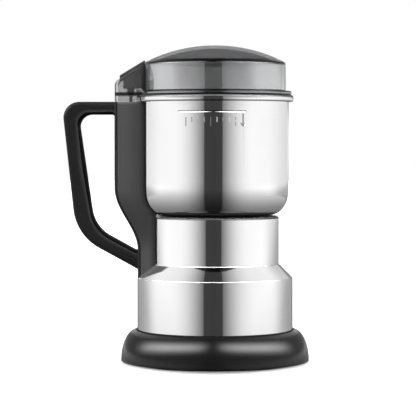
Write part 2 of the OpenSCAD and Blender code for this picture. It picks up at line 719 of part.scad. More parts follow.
// Wires: block to switch and switch to the front brush, both through the grommet, and block to the rear
// brush.
wire_r = 0.9;
function wire_down(s, end) = let (x = switch_x, z = switch_z - 3.4 - wire_r)
    concat([[x - 1, s * 7.4, z], [x - 1, s * 7, z - 9], [x, s * 6, z - 20],
        [-spine(grommet_z + 17) + 8, s * 5.8, grommet_z + 17],
        [-neck_r - 4.2, s * 5.4, grommet_z + 8], [-neck_r - 3.6, s * 3.8, grommet_z + 3],
        [-neck_r - 1.8, s * 1.8, grommet_z + 0.5], [-neck_r + 0.2, s * 1.4, grommet_z],
        [-neck_r + 2.8, s * 1.5, grommet_z - 0.8], [-neck_r + 4.4, s * 2.4, grommet_z - 4.5],
        [-neck_r + 4.7, s * 4, grommet_z - 11], [-neck_r + 4.9, s * 6.5, stack_z + 12],
            [-neck_r + 5, s * 8.5, stack_z]], end);
module switch_leads() {
    color([0.75, 0.12, 0.1]) bar(wire_down(-1, [
        [-neck_r + 8.5, -12, stack_z - 6], [-neck_r + 15.5, -18.5, brush_z + 4],
        [-neck_r + 25.5, -23.4, brush_z + 1],
        [-brush_w / 2 - holder_wall - wire_r - 0.2, -holder_end + 2, brush_z]]), wire_r);
    color([0.12, 0.2, 0.6]) bar(wire_down(1, [
        [-neck_r + 7.5, 14, stack_z - 6], [-neck_r + 11.5, block_y - 15, block_z + 14],
        [-neck_r + 20.5, block_y - 8, block_z + 8],
        [-12, block_y - 3, block_z + 3.4], [-6, block_y - 0.3, block_z + 2.6]]), wire_r);
    color([0.2, 0.2, 0.2]) bar([
        [6, block_y - 0.3, block_z + 2.6], [7.5, block_y - 3, block_z + 3.2],
            [9.5, block_y - 7.5, block_z + 7],
        [8, holder_end - 0.4, brush_z - 2.5],
        [brush_w / 2 + holder_wall + wire_r + 0.25, holder_end - 2, brush_z]], wire_r);
}

// ---------- lid and key ----------
function lug_half(inset) = concat(
    [for (i = [0 : cheek_steps]) let (t = i / cheek_steps, w0 = spine_w / 2, w1 = cheek_w / 2)
        [lug_x + inset + 18 * t, w0 - inset + (w1 - w0) * sin(90 * t)]],
    [[-lid_r + 8, cheek_w / 2 - inset]]);

module lug_plan(inset) {
    half = lug_half(inset);
    polygon(concat([for (p = half) [p.x, -p.y]], reversed(half)));
}

function roof_at(x) = roof_z + (x - roof_x) * tan(roof_slope);

// Side view of what lies under the sloping roof, with a rounded nose.
module under_roof(drop) rotate([90, 0, 0]) linear_extrude(100, center = true) polygon(concat(
    [[lug_x - 0.01, lug_z - 2]],
    corner([lug_x - 0.01, lug_z], [lug_x - 0.01, roof_at(lug_x) - drop], [roof_x, roof_z - drop], 4, 6),
    [[roof_x, roof_z - drop], [roof_x + 20, roof_z - drop], [roof_x + 20, lug_z - 2]]));

edge_c = [lid_r - dome_edge, lid_top - dome_r + sqrt(pow(dome_r - dome_edge, 2) - pow(lid_r - dome_edge,
    2))];
edge_a = asin((lid_r - dome_edge) / (dome_r - dome_edge));

module lid_profile() polygon(concat(
    [[0, lid_top - lid_wall], [0, lid_top]],
    [for (i = [1 : 11]) let (a = edge_a * i / 12) [dome_r * sin(a), lid_top - dome_r + dome_r * cos(a)]],
    arc(edge_c, dome_edge, 90 - edge_a, 0, 6),
    [[lid_r, lid_z + lid_flange_t]],
    arc([flange_r - 1, lid_z + lid_flange_t - 1], 1, 90, 0, 4),
    arc([flange_r - 1, lid_z + 1], 1, 0, -90, 4),
    [[lip_r_out, lid_z], [lip_r_out, lid_z - lip_depth + 1], [lip_r_out - 1, lid_z - lip_depth],
     [lid_r - lid_wall, lid_z - lip_depth]],
    arc(edge_c, dome_edge - lid_wall, 0, 90 - edge_a, 5),
    [for (i = [11 : -1 : 1]) let (a = edge_a * i / 12, r = dome_r - lid_wall)
        [r * sin(a), lid_top - dome_r + r * cos(a)]]));

module lid() color(smoke) difference() {
    union() {
        difference() {
            rotate_extrude() lid_profile();
            // inside the lug the flange is left out, so that the lug's floor stays flat
            difference() {
                translate([0, 0, lug_floor + lug_floor_t])
                    linear_extrude(lid_flange_t + 2) lug_plan(lug_wall);
                cylinder(r = lid_r - 0.1, h = lid_top);
            }
        }
        difference() {
            intersection() {
                translate([0, 0, lug_z]) linear_extrude(lid_top - lug_z) lug_plan(0);
                under_roof(0);
            }
            // room above the lug's floor and room below it
            intersection() {
                translate([0, 0, lug_floor + lug_floor_t]) linear_extrude(lid_top) lug_plan(lug_wall);
                under_roof(lug_wall);
            }
            translate([0, 0, lug_z - 1]) linear_extrude(lug_floor - lug_z + 1) lug_plan(lug_wall);
            cylinder(r = lid_r - 0.5, h = lid_top);
            translate([0, 0, lug_z - 1]) cylinder(r = rim_r + gap, h = lid_z - lug_z + 1);
            // the roof's opening, which the key fills
            translate([key_x0 - key_gap, -key_w / 2 - key_gap, roof_at(key_x0) - 8])
                cube([3 - lid_r - key_x0 + key_gap, key_w + 2 * key_gap, lid_top - roof_at(key_x0) + 10]);
        }
        // chimney that guides the key's stem, and the peg of the key's spring
        translate([stem_x - stem_t / 2 - key_gap - 1, -stem_w / 2 - key_gap - 1, lug_floor])
            cube([stem_t + 2 * key_gap + 2, stem_w + 2 * key_gap + 2, chimney_top - lug_floor]);
        translate([key_spring_x, 0, lug_floor + 0.5]) cylinder(r = 1.2, h = 4);
    }
    translate([stem_x - stem_t / 2 - key_gap, -stem_w / 2 - key_gap, lug_z])
        cube([stem_t + 2 * key_gap, stem_w + 2 * key_gap, chimney_top - lug_z + 1]);
}

module lid_seal() color([0.8, 0.8, 0.78]) translate([0, 0, lid_z - lip_depth + 1.6]) rotate_extrude()
    polygon([[lip_r_out, 0], [seal_r - 0.4, 0], [seal_r, seal_h / 2], [seal_r - 0.4, seal_h],
        [lip_r_out, seal_h]]);

key_tip = [key_x1, roof_at(key_x1) + key_stand];
key_tail = [key_x0, roof_at(key_x0) + key_stand];

// The key: a sloping plate in the lug's roof, a block with two cheeks under it, and the flat stem
// that reaches the plunger.
module press_key() color(black) difference() {
    union() {
        rotate([90, 0, 0]) linear_extrude(key_w, center = true) polygon(concat(
            [[key_x0, roof_at(key_x0) - 1.6], [key_x1, roof_at(key_x1) - 1.6]],
            corner([key_x1, roof_z - 2], key_tip, key_tail, 0.8, 4),
            corner(key_tip, key_tail, [key_x0, roof_z - 30], 0.8, 4)));
        // the block steps up over the chimney, and its lower part holds the spring
        rotate([90, 0, 0]) linear_extrude(key_block_w, center = true) polygon([
            [stem_x - 2.4, key_foot_z], [key_step_x, key_foot_z], [key_step_x, key_block_z],
            [key_x1, key_block_z], [key_x1, roof_at(key_x1) - 1],
                [stem_x - 2.4, roof_at(stem_x - 2.4) - 1]]);
        // a cheek on either side of the chimney keeps the key straight
        for (s = [-1, 1]) translate([0, s * (key_block_w / 2 + key_cheek_y) / 2, 0]) rotate([90, 0, 0])
            linear_extrude(key_block_w / 2 - key_cheek_y, center = true) polygon([
                [stem_x - 4.8, key_cheek_z], [stem_x + 1.4, key_cheek_z], [stem_x + 1.4, lug_floor + 7.9],
                [key_step_x + 0.5, lug_floor + 7.9], [key_step_x + 0.5, roof_at(stem_x + 1.4) - 1],
                [stem_x - 4.8, roof_at(stem_x - 4.8) - 1]]);
        translate([stem_x - stem_t / 2, -stem_w / 2, stem_low])
            cube([stem_t, stem_w, roof_at(stem_x) - stem_low]);
        // barbs that keep the key in the lug
        translate([stem_x - stem_t / 2, -stem_w / 2 - 0.8, barb_z - 1.5]) cube([stem_t, stem_w + 1.6, 1.5]);
    }
    translate([key_spring_x, 0, key_block_z - 1]) cylinder(r = 2.3, h = key_spring_top - key_block_z + 1);
    // the end that follows the lid's round wall
    cylinder(r = lid_r + gap, h = lid_top + 10);
}

module key_spring() color(iron) translate([key_spring_x, 0, lug_floor + lug_floor_t])
    coil_spring(1.7, 0.3, key_spring_top - lug_floor - lug_floor_t, 6);

// ---------- motor ----------
module upper_bracket() color([0.62, 0.62, 0.63]) difference() {
    union() {
        cylinder_at(bracket_r, bracket_top - bracket_t, bracket_top);
        cylinder_at(bearing_r + seat_wall, bearing_z, bracket_top);
        cylinder_at(sleeve_r, bracket_top - 1, sleeve_top);
        for (a = [0 : 60 : 300]) rotate(a + 30) translate([bearing_r, -1.2, bearing_z + 1.5])
            cube([bracket_r - bearing_r - 2, 2.4, bracket_top - bearing_z - 3]);
        for (x = [-1, 1]) translate([x * bolt_at, 0, stack_top])
            cylinder(r = post_r, h = bracket_top - stack_top);
    }
    cylinder_at(bearing_r, bearing_z - 1, bearing_z + bearing_h);
    cylinder_at(shaft_r + 1.2, bearing_z, sleeve_top + 1);
    cylinder_at(seal_seat_r, sleeve_top - seal_seat_h, sleeve_top + 1);
    for (x = [-1, 1]) translate([x * bolt_at, 0, stack_top - 1])
        cylinder(r = bolt_r, h = bracket_top - stack_top - 2);
}

module cylinder_at(r, z0, z1) translate([0, 0, z0]) cylinder(r = r, h = z1 - z0);

// Ball bearing: two rings, shields between them.
module bearing(z) translate([0, 0, z]) rotate_extrude() polygon([
    [shaft_r, 0], [shaft_r + 2, 0], [shaft_r + 2, 0.6], [bearing_r - 2, 0.6], [bearing_r - 2, 0],
        [bearing_r, 0],
    [bearing_r, bearing_h], [bearing_r - 2, bearing_h], [bearing_r - 2, bearing_h - 0.6],
    [shaft_r + 2, bearing_h - 0.6], [shaft_r + 2, bearing_h], [shaft_r, bearing_h]]);

module upper_bearing() color(steel) bearing(bearing_z);
module lower_bearing() color(steel) bearing(low_bearing_z);

module stator_core() color(iron) difference() {
    union() {
        translate([0, 0, stack_z]) linear_extrude(stack_h) square([stator_w, stator_l - 16], center = true);
        translate([0, 0, stack_z]) linear_extrude(stack_h) square([stator_w - 16, stator_l], center = true);
        for (x = [-1, 1], y = [-1, 1]) translate([x * (stator_w / 2 - 8), y * (stator_l / 2 - 8), stack_z])
            cylinder(r = 8, h = stack_h);
    }
    difference() {
        translate([-window_x, -stator_l / 2 + yoke, stack_z - 1])
            cube([2 * window_x, stator_l - 2 * yoke, stack_h + 2]);
        translate([-coil_in + 0.2, -stator_l / 2, stack_z - 2])
            cube([2 * coil_in - 0.4, stator_l, stack_h + 4]);
        intersection() {
            cylinder_at(shoe_r, stack_z - 2, stack_top + 2);
            for (s = [-1, 1]) translate([0, 0, stack_z - 2]) linear_extrude(stack_h + 4)
                polygon([for (q = [[0, 0], [1, 0.77], [1, 1.54], [-1, 1.54], [-1, 0.77]])
                    q * s * stator_l / 2]);
        }
    }
    cylinder_at(rotor_r + air_gap, stack_z - 3, stack_top + 3);
    for (x = [-1, 1]) translate([x * bolt_at, 0, stack_z - 1]) cylinder(r = bolt_r, h = stack_h + 2);
}

module field_coils() color(copper) for (s = [-1, 1]) difference() {
    translate([-coil_out, s > 0 ? coil_y0 : -coil_y1, stack_z - coil_over])
        cube([2 * coil_out, coil_y1 - coil_y0, stack_h + 2 * coil_over]);
    translate([-coil_in, s > 0 ? coil_y0 - 1 : -coil_y1 - 1, stack_z])
        cube([2 * coil_in, coil_y1 - coil_y0 + 2, stack_h]);
}

module motor_bolts() color(iron) for (x = [-1, 1]) translate([x * bolt_at, 0, 0]) {
    cylinder_at(bolt_r - 0.05, bridge_z - 0.5, bracket_top - 3.5);
    translate([0, 0, bridge_z - 2.6]) cylinder(r = 3.6, h = 2.6, $fn = 6);
}

module lower_bridge() color([0.62, 0.62, 0.63]) difference() {
    union() {
        translate([-bridge_r, -6, bridge_z]) cube([2 * bridge_r, 12, bridge_t]);
        translate([-5, -brush_out, bridge_z]) cube([10, 2 * brush_out, bridge_t]);
        cylinder_at(bearing_r + seat_wall, low_bearing_z, bridge_z + bridge_t);
        for (x = [-1, 1]) translate([x * bolt_at, 0, bridge_z]) cylinder(r = post_r, h = stack_z - bridge_z);
        // rests of the brush holders
        for (y = [-1, 1]) translate([-5, y * (holder_in + 7) - 5, bridge_z + 1])
            cube([10, 10, brush_z - brush_t / 2 - holder_wall - bridge_z - 1]);
    }
    cylinder_at(bearing_r, low_bearing_z - 1, low_bearing_z + bearing_h);
    cylinder_at(shaft_r + 1.2, low_bearing_z, bridge_z + bridge_t + 1);
    for (x = [-1, 1]) translate([x * bolt_at, 0, bridge_z - 1])
        cylinder(r = bolt_r, h = stack_z - bridge_z + 2);
}

module brush_holders() color(brass) for (s = [0, 180]) rotate(s) difference() {
    translate([-brush_w / 2 - holder_wall, holder_in, brush_z - brush_t / 2 - holder_wall])
        cube([brush_w + 2 * holder_wall, holder_end - holder_in, brush_t + 2 * holder_wall]);
    translate([-brush_w / 2, holder_in - 1, brush_z - brush_t / 2])
        cube([brush_w, holder_end - holder_in, brush_t]);
}

module carbon_brushes() color([0.15, 0.15, 0.16]) for (s = [0, 180]) rotate(s) difference() {
    translate([-brush_w / 2 + 0.05, commutator_r - 1, brush_z - brush_t / 2 + 0.05])
        cube([brush_w - 0.1, brush_l + 1, brush_t - 0.1]);
    cylinder_at(commutator_r + run_gap, commutator_z - 1, commutator_z + commutator_h + 1);
}

module brush_springs() color(iron) for (s = [0, 180]) rotate(s)
    translate([0, commutator_r + brush_l, brush_z]) rotate([-90, 0, 0])
        coil_spring(1.8, 0.25, holder_end - 1 - commutator_r - brush_l, 5);

module motor_shaft() color(steel) {
    cylinder_at(shaft_r, shaft_low, hub_z - 2);
    cylinder_at(thread_r, hub_z - 2.1, shaft_top);
    cylinder_at(thread_r, shaft_low - 1, shaft_low);
}

module rotor_core() color(iron) difference() {
    cylinder_at(rotor_r, stack_z, stack_top);
    cylinder_at(shaft_r, stack_z - 1, stack_top + 1);
    around(12, rotor_r - 4) translate([0, 0, stack_z - 1]) cylinder(r = 1.9, h = stack_h + 2, $fn = 24);
    around(12, rotor_r - 4) translate([0, -0.7, stack_z - 1]) cube([6, 1.4, stack_h + 2]);
}

module rotor_winding() color(copper) {
    around(12, rotor_r - 4) translate([0, 0, stack_z - 1]) cylinder(r = 1.8, h = stack_h + 2, $fn = 24);
    for (end = [0, 1]) translate([0, 0, end ? stack_top : stack_z]) mirror([0, 0, 1 - end]) rotate_extrude()
        polygon(concat([[shaft_r, 0.05], [rotor_r - 1.4, 0.05]], arc([rotor_r - 4, 3.4], 2.6, 0, 90, 5),
            [[shaft_r, 5.6]]));
}

module commutator() color(copper) difference() {
    union() {
        cylinder_at(commutator_r, commutator_z, commutator_z + commutator_h);
        cylinder_at(commutator_r + 2, commutator_z + commutator_h - 0.5, stack_z - 6.1);
    }
    cylinder_at(shaft_r, commutator_z - 1, stack_z);
    around(bars, commutator_r) translate([-0.7, -0.2, commutator_z - 1])
        cube([3, 0.4, stack_z - commutator_z]);
}

module cooling_fan() color([0.25, 0.26, 0.28]) difference() {
    union() {
        cylinder_at(7, fan_z, fan_top);
        cylinder_at(fan_d / 2, fan_top - 1.2, fan_top);
        around(fan_blades, 6) translate([0, -0.6, fan_z]) cube([fan_d / 2 - 6.2, 1.2, fan_h - 1]);
    }
    cylinder_at(shaft_r, fan_z - 1, fan_top + 1);
}

// ---------- blades ----------
module blade_spacer() color(steel) difference() {
    cylinder_at(hub_r, hub_z - 2, hub_z);
    cylinder_at(thread_r, hub_z - 3, hub_z + 1);
}

// A flat bar with swept tips that bend: bend > 0 lifts the tips.
module blade(z, bend, turn) translate([0, 0, z]) rotate(turn) difference() {
    union() {
        cylinder(r = blade_w / 2, h = blade_t);
        translate([-flat, -blade_w / 2 + 1, 0]) cube([2 * flat, blade_w - 2, blade_t]);
        // each station: distance, share of the bend, half width, sweep
        for (s = [0, 180]) rotate(s) loft([for (p = [
            [flat - 0.5, 0, blade_w / 2 - 1, 0], [flat + 4, 0.12, blade_w / 2 - 1.2, 0.4],
            [(flat + blade_l / 2) / 2 + 2, 0.55, blade_w / 2 - 2.4, 1.6], [blade_l / 2, 1, 1.4, 4]])
            [[p.x, p[3] - p[2], bend * p.y], [p.x, p[3] + p[2] * 0.9, bend * p.y],
             [p.x, p[3] + p[2] * 0.9, bend * p.y + blade_t * (1 - p.y * 0.5)],
             [p.x, p[3] - p[2], bend * p.y + blade_t * (1 - p.y * 0.7)]]]);
    }
    translate([0, 0, -1]) cylinder(r = thread_r, h = blade_t + 2);
}
flat = 11;

module lower_blade() color(steel) blade(hub_z, -4, 0);
module upper_blade() color(steel) blade(hub_z + blade_t, tip_rise, 90);

module blade_cap() color(steel) difference() {
    union() {
        cylinder_at(hub_r, hub_z + 2 * blade_t, hub_z + 2 * blade_t + 1.6);
        translate([0, 0, hub_z + 2 * blade_t]) cylinder(r = 6, h = cap_h - 2, $fn = 6);
        translate([0, 0, hub_z + 2 * blade_t + cap_h - 2.1]) cylinder(r1 = 5, r2 = 3, h = 2.1);
    }
    cylinder_at(thread_r, hub_z, shaft_top);
}

// ---------- what is drawn ----------
base();
bottom_plate();
foot_ring();
base_screws();
cord_gland();
terminal_block();
drum_housing();
bowl_gasket();
bowl();
bowl_nut();
shaft_seal();
handle_column();
handle_grip();
column_screws();
grip_screw();
wire_grommet();
switch_plunger();
plunger_spring();
microswitch();
switch_button();
switch_lever();
switch_leads();
lid();
lid_seal();
press_key();
key_spring();
upper_bracket();
upper_bearing();
stator_core();
field_coils();
motor_bolts();
lower_bridge();
lower_bearing();
brush_holders();
carbon_brushes();
brush_springs();
motor_shaft();
rotor_core();
rotor_winding();
commutator();
cooling_fan();
blade_spacer();
lower_blade();
upper_blade();
blade_cap();
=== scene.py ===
# %% [markdown]
# # An electric grain mill
# The mill is a steel bowl on a steel drum, with a smoky lid, a black side handle and a black base.
# Its solids come from the CAD frame. This lesson dresses them: the big turned shapes, the handle and the lid are
# modelled again with finer surfaces, and every inner piece gets a material of its own.

# %% The frame and the tools
import math

import bmesh
import bpy
from mathutils import Matrix, Vector


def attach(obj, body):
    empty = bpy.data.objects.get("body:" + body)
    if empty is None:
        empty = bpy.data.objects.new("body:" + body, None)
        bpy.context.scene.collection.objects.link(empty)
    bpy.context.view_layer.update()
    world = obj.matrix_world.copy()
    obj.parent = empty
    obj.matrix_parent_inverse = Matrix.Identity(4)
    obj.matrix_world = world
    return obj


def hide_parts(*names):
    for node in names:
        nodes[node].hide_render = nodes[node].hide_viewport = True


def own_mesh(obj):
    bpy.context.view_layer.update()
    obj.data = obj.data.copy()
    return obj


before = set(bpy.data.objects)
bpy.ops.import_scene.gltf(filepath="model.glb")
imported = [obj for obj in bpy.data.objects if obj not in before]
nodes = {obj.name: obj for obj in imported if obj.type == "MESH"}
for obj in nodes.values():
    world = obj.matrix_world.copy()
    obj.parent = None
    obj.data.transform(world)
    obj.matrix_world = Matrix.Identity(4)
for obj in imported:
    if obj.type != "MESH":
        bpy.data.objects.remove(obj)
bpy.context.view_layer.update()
MM = 0.001
print("frame:", len(nodes), "nodes")

# %% [markdown]
# ## Camera first
# A long lens from the front, two thirds up the bowl and tipped down by two degrees. The mill's axis lies slightly
# right of the picture's middle, so the camera stands that much to the left of it.

# %% Camera
camera_data = bpy.data.cameras.new("camera")
camera_data.lens = 180
camera_data.sensor_width = 36
camera_data.clip_end = 50
camera = bpy.data.objects.new("camera", camera_data)
camera.location = (-4.67 * MM, -1.387, 149.3 * MM)
camera.rotation_euler = (math.radians(90 - 1.93), 0, 0)
bpy.context.scene.collection.objects.link(camera)
bpy.context.scene.camera = camera
bpy.context.scene.view_settings.view_transform = "Standard"
print("camera at", [round(c, 3) for c in camera.location])

# %% [markdown]
# ## Shader maths as Python
# A material's pattern is arithmetic on sockets. Built by hand, every sum and product is a node with its links, and
# nobody reads the pattern any more. The class `Wire` holds one socket and lets Python's + - * / build the Math nodes,
# so that a pattern reads like a formula.

# %% Wire
class Wire:
    def __init__(self, tree, socket):
        self.tree, self.socket = tree, socket

    def _math(self, operation, first, second=None, clamp=False):
        node = self.tree.nodes.new("ShaderNodeMath")
        node.operation, node.use_clamp = operation, clamp
        for slot, value in zip(node.inputs, (first, second)):
            if isinstance(value, Wire):
                self.tree.links.new(value.socket, slot)
            elif value is not None:
                slot.default_value = value
        return Wire(self.tree, node.outputs[0])

    def __add__(self, other):
        return self._math("ADD", self, other)

    def __sub__(self, other):
        return self._math("SUBTRACT", self, other)

    def __rsub__(self, other):
        return self._math("SUBTRACT", other, self)

    def __mul__(self, other):
        return self._math("MULTIPLY", self, other)

    def __truediv__(self, other):
        return self._math("DIVIDE", self, other)

    def __pow__(self, other):
        return self._math("POWER", self, other)

    __radd__, __rmul__ = __add__, __mul__

    def size(self):
        return self._math("ABSOLUTE", self)

    def most(self, other):
        return self._math("MAXIMUM", self, other)

    def least(self, other):
        return self._math("MINIMUM", self, other)

    def step(self, low, high):
        """0 below low, 1 above high, straight in between."""
        return self._math("MULTIPLY", self - low, 1 / (high - low), clamp=True)


def within(wire, low, high, blur=0.0004):
    """1 between low and high, fading to 0 on either side."""
    return wire.step(low - blur, low + blur) * (1 - wire.step(high - blur, high + blur))


def grey(value):
    return (value, value, value)


print("wires ready")

# %% [markdown]
# ## Finishes
# `Tree` makes any other node from its type, its settings and the values of its sockets. `Finish` is the tree of one
# material: it starts from a Principled shader, and has the few patterns that the mill's materials share.

# %% Tree and Finish
class Tree:
    def __init__(self, tree):
        self.tree = tree

    def node(self, kind, settings=None, **values):
        node = self.tree.nodes.new("ShaderNode" + kind)
        for key, value in (settings or {}).items():
            if key == "stops":
                ramp = node.color_ramp.elements
                while len(ramp) < len(value):
                    ramp.new(0.5)
                for stop, (place, colour) in zip(ramp, value):
                    stop.position, stop.color = place, (*colour, 1)
            else:
                setattr(node, key, value)
        return self.fill(node, values)

    def fill(self, node, values):
        """Sets or links sockets by name, or by number as n0, n1."""
        for key, value in values.items():
            slot = node.inputs[int(key[1:]) if key.startswith("n") else key.replace("_", " ")]
            if isinstance(value, Wire):
                self.tree.links.new(value.socket, slot)
            else:
                slot.default_value = value
        return node

    def wire(self, kind, settings=None, out=0, **values):
        return Wire(self.tree, self.node(kind, settings, **values).outputs[out])

    def axes(self, vector):
        """The x, y and z of a vector."""
        split = self.node("SeparateXYZ", Vector=vector)
        return [Wire(self.tree, split.outputs[i]) for i in range(3)]

    def path(self, *names):
        """What the light path says of a ray."""
        node = self.node("LightPath")
        return [Wire(self.tree, node.outputs[name]) for name in names]


class Finish(Tree):
    def __init__(self, name, colour, roughness, metallic=0.0, **constants):
        self.material = bpy.data.materials.new(name)
        self.material.use_nodes = True
        super().__init__(self.material.node_tree)
        self.shader = self.tree.nodes["Principled BSDF"]
        self.set(Base_Color=(*colour, 1), Roughness=roughness, Metallic=metallic, **constants)
        self.place = self.wire("TexCoord", out=3)

    def set(self, **values):
        self.fill(self.shader, values)

    def noise(self, scale, detail=2.0, stretch=(1, 1, 1)):
        """Noise with scale in cells per metre; stretch squeezes it along an axis."""
        mapped = self.wire("Mapping", Vector=self.place, Scale=stretch)
        return self.wire("TexNoise", Vector=mapped, Scale=scale, Detail=detail)

    def colours(self, factor, dark, light):
        return self.wire("Mix", {"data_type": "RGBA"}, out=2, n0=factor, n6=(*dark, 1), n7=(*light, 1))

    def over(self, under, mask, colour):
        """Lays a plain colour over another one where the mask is 1."""
        return self.wire("Mix", {"data_type": "RGBA"}, out=2, n0=mask, n6=under, n7=(*colour, 1))

    def bump(self, height, strength, distance):
        self.set(Normal=self.wire("Bump", Height=height, Strength=strength, Distance=distance))


print("shader tools ready")

# %% [markdown]
# ## Steel
# The bowl and the drum are polished stainless sheet. A mirror alone looks like plastic foil, so the polish gets very
# fine lines round the axis, which only change the roughness and tilt the surface a hair. A real sheet also mirrors
# its neighbours, and here some of that is painted into the colour: painted dark lines at the folds and the rim, a
# painted black reflection of the handle's column on the wall and rim beside it, and a painted dark reflection on the
# shoulder beside it. These few places are masks over the height and the side, in metres.

# %% Steel
shoulder_foot, shoulder_end, rim_foot = 0.0564, 0.0653, 0.1730
handle_side = -0.030


def painted_handle_reflections(finish, half_width):
    """Two masks of painted reflection: the strip of wall and rim where the handle's column is painted black, and the
    dark wedge painted on the shoulder.
    """
    across, side, height = finish.axes(finish.place)
    strip = (1 - side.size().step(half_width, half_width + 0.001)) * within(height, shoulder_foot, rim_foot)
    rim = within(side.size(), half_width - 0.0019, half_width + 0.0008)
    rim = rim * height.step(rim_foot - 0.0002, rim_foot + 0.0002)
    strip = strip.most(rim) * (1 - across.step(handle_side, handle_side + 0.001))
    painted_wedge_reflection = 1 - (side.size() - (height * 2 - 0.0935).least(0.0303)).step(-0.0012, 0.0012)
    painted_wedge_reflection = painted_wedge_reflection * within(height, shoulder_foot + 0.0002, shoulder_end)
    return strip, painted_wedge_reflection * (1 - across.step(handle_side + 0.002, handle_side + 0.006))


def steel_finish(name, colour, low, high, lines=2600, bands=(), column=0):
    """A band is (low, high, share, dull): between two heights the colour is cut to a share of its brightness, a painted
    shade, and the metal is duller. Column is half the width of the strip where the handle's reflection is painted."""
    finish = Finish(name, colour, low, metallic=1.0)
    polish = finish.noise(lines, 3, (0.02, 0.02, 1))
    cloud = finish.noise(30, 3)
    roughness = low + (high - low) * (polish * 0.6 + cloud * 0.4)
    shade = finish.colours(cloud.step(0.3, 0.7), [c * 0.97 for c in colour], colour)
    if column:
        strip, painted_wedge_reflection = painted_handle_reflections(finish, column)
        # Painted reflection: near black on the strip beside the handle, dark grey on the shoulder's wedge.
        roughness = roughness + strip * 0.9
        shade = finish.over(finish.over(shade, strip, grey(0.004)), painted_wedge_reflection, grey(0.10))
    for start, end, share, dull in bands:
        band = within(finish.axes(finish.place)[2], start, end, 0.0001)
        roughness = roughness + band * dull
        shade = finish.over(shade, band, [c * share for c in colour])
    finish.set(Base_Color=shade, Roughness=roughness)
    finish.bump(polish, 0.02, 0.0001)
    return finish.material


# Painted shade: dark bands on the steel at the folds, the neck's top and the bead's top.
painted_fold_shade = [
    (0.05596, 0.05656, 0.5, 0.4),  # foot of the shoulder
    (0.06530, 0.06597, 0.5, 0.4),  # foot of the neck
    (0.0959, 0.0971, 0.06, 0.4),  # the neck's rounded top
    (0.0971, 0.0976, 0.5, 0.4),  # the neck's end, seen only in the bowl's underside
    (0.1764, 0.1790, 0.08, 0.4),  # top of the bowl's bead
]
polished_steel = steel_finish("polished_steel", grey(0.95), 0.03, 0.055, bands=painted_fold_shade, column=0.0184)
steel_finish("blade_steel", (0.72, 0.72, 0.73), 0.16, 0.30, 1800)
zinc_steel = steel_finish("zinc_steel", (0.55, 0.56, 0.60), 0.28, 0.42, 900)
print("steels:", len(bpy.data.materials))

# %% [markdown]
# ## Plastics and rubber
# Moulded parts are one colour with a slight cloud in it, and their skin has a grain: nearly none on the glossy base,
# whose wide shoulder shows the lamps as soft clouds, and a fine spark-eroded one on the satin handle, which spreads
# every highlight.

# %% Plastics
def plastic_finish(name, colour, low, high, grain_scale, grain, distance=0.00005, zones=None, **constants):
    """Zones is a function that lists (mask, colour, roughness) where painted shade or a painted highlight makes the
    skin darker or lighter, and where it is duller.
    """
    finish = Finish(name, colour, low, **constants)
    grain_field = finish.noise(grain_scale, 2)
    cloud = finish.noise(25, 3)
    rough = low + (high - low) * (cloud * 0.7 + grain_field * 0.3)
    shade = finish.colours(cloud.step(0.3, 0.7), [c * 0.9 for c in colour], [c * 1.08 for c in colour])
    for mask, tint, dull in zones(finish) if zones else ():
        shade = finish.over(shade, mask, tint)
        rough = rough + (dull - rough) * mask
    finish.set(Base_Color=shade, Roughness=rough)
    finish.bump(grain_field, grain, distance)
    return finish.material


print("plastic maker ready")

# %% [markdown]
# ## Painted shade on the handle
# The column's shade in the narrow gap at the bowl and the neck is painted, so its zones follow the distance to the
# steel: down the wall, round the bowl's corner, then along the neck. The grip's rounded edge towards the hand faces
# the grip's own shadow, which is painted too. Its zones follow how far the surface is turned towards the middle of
# the opening, and the lighter one is a painted highlight, a fine line where the rounding begins.

# %% Zones of painted shade on the handle
def painted_gap_shade(finish):
    corner_x, corner_z, corner_r, neck_step = 0.0325, 0.1128, 0.0165, 0.0014
    x, y, z = finish.axes(finish.place)
    down = (corner_z - z).most(0).least(0.0116)
    body = corner_x + (corner_r ** 2 - down * down) ** 0.5 - neck_step * (1 - z.step(0.0978, 0.0990))
    gap = (x * x + y * y) ** 0.5 - body
    # Painted shade on the column, darkest right beside the steel.
    return [(0.38 - 0.38 * gap.step(0.002, 0.010), grey(0.002), 0.6), (1 - gap.step(0.0006, 0.0040), grey(0.001), 0.9)]


def painted_edge_shade_and_highlight(finish):
    hand_x, hand_z = -0.076, 0.132
    x, y, z = finish.axes(finish.place)
    nx, _, nz = finish.axes(finish.wire("NewGeometry", out=1))
    right, up = hand_x - x, hand_z - z
    inward = (right * nx + up * nz) / ((right.size() ** 2 + up.size() ** 2) ** 0.5)
    # A painted highlight line where the rounding begins, then painted shade over the rounding.
    return [(within(inward, 0.05, 0.2, 0.03), grey(0.05), 0.5), (inward.step(0.2, 0.3), grey(0.001), 1.0)]


column_black = plastic_finish("column_black", (0.033, 0.033, 0.034), 0.40, 0.50, 5200, 0.25, zones=painted_gap_shade)
grip_black = plastic_finish("grip_black", (0.0135, 0.0135, 0.014), 0.42, 0.52, 5200, 0.2, zones=painted_edge_shade_and_highlight,
                            Specular_IOR_Level=0.12)
print("handle:", column_black.name, grip_black.name)

# %% [markdown]
# ## The other plastics
# Each row is one finish: name, colour, the range of its roughness, how fine its grain is and how deep.

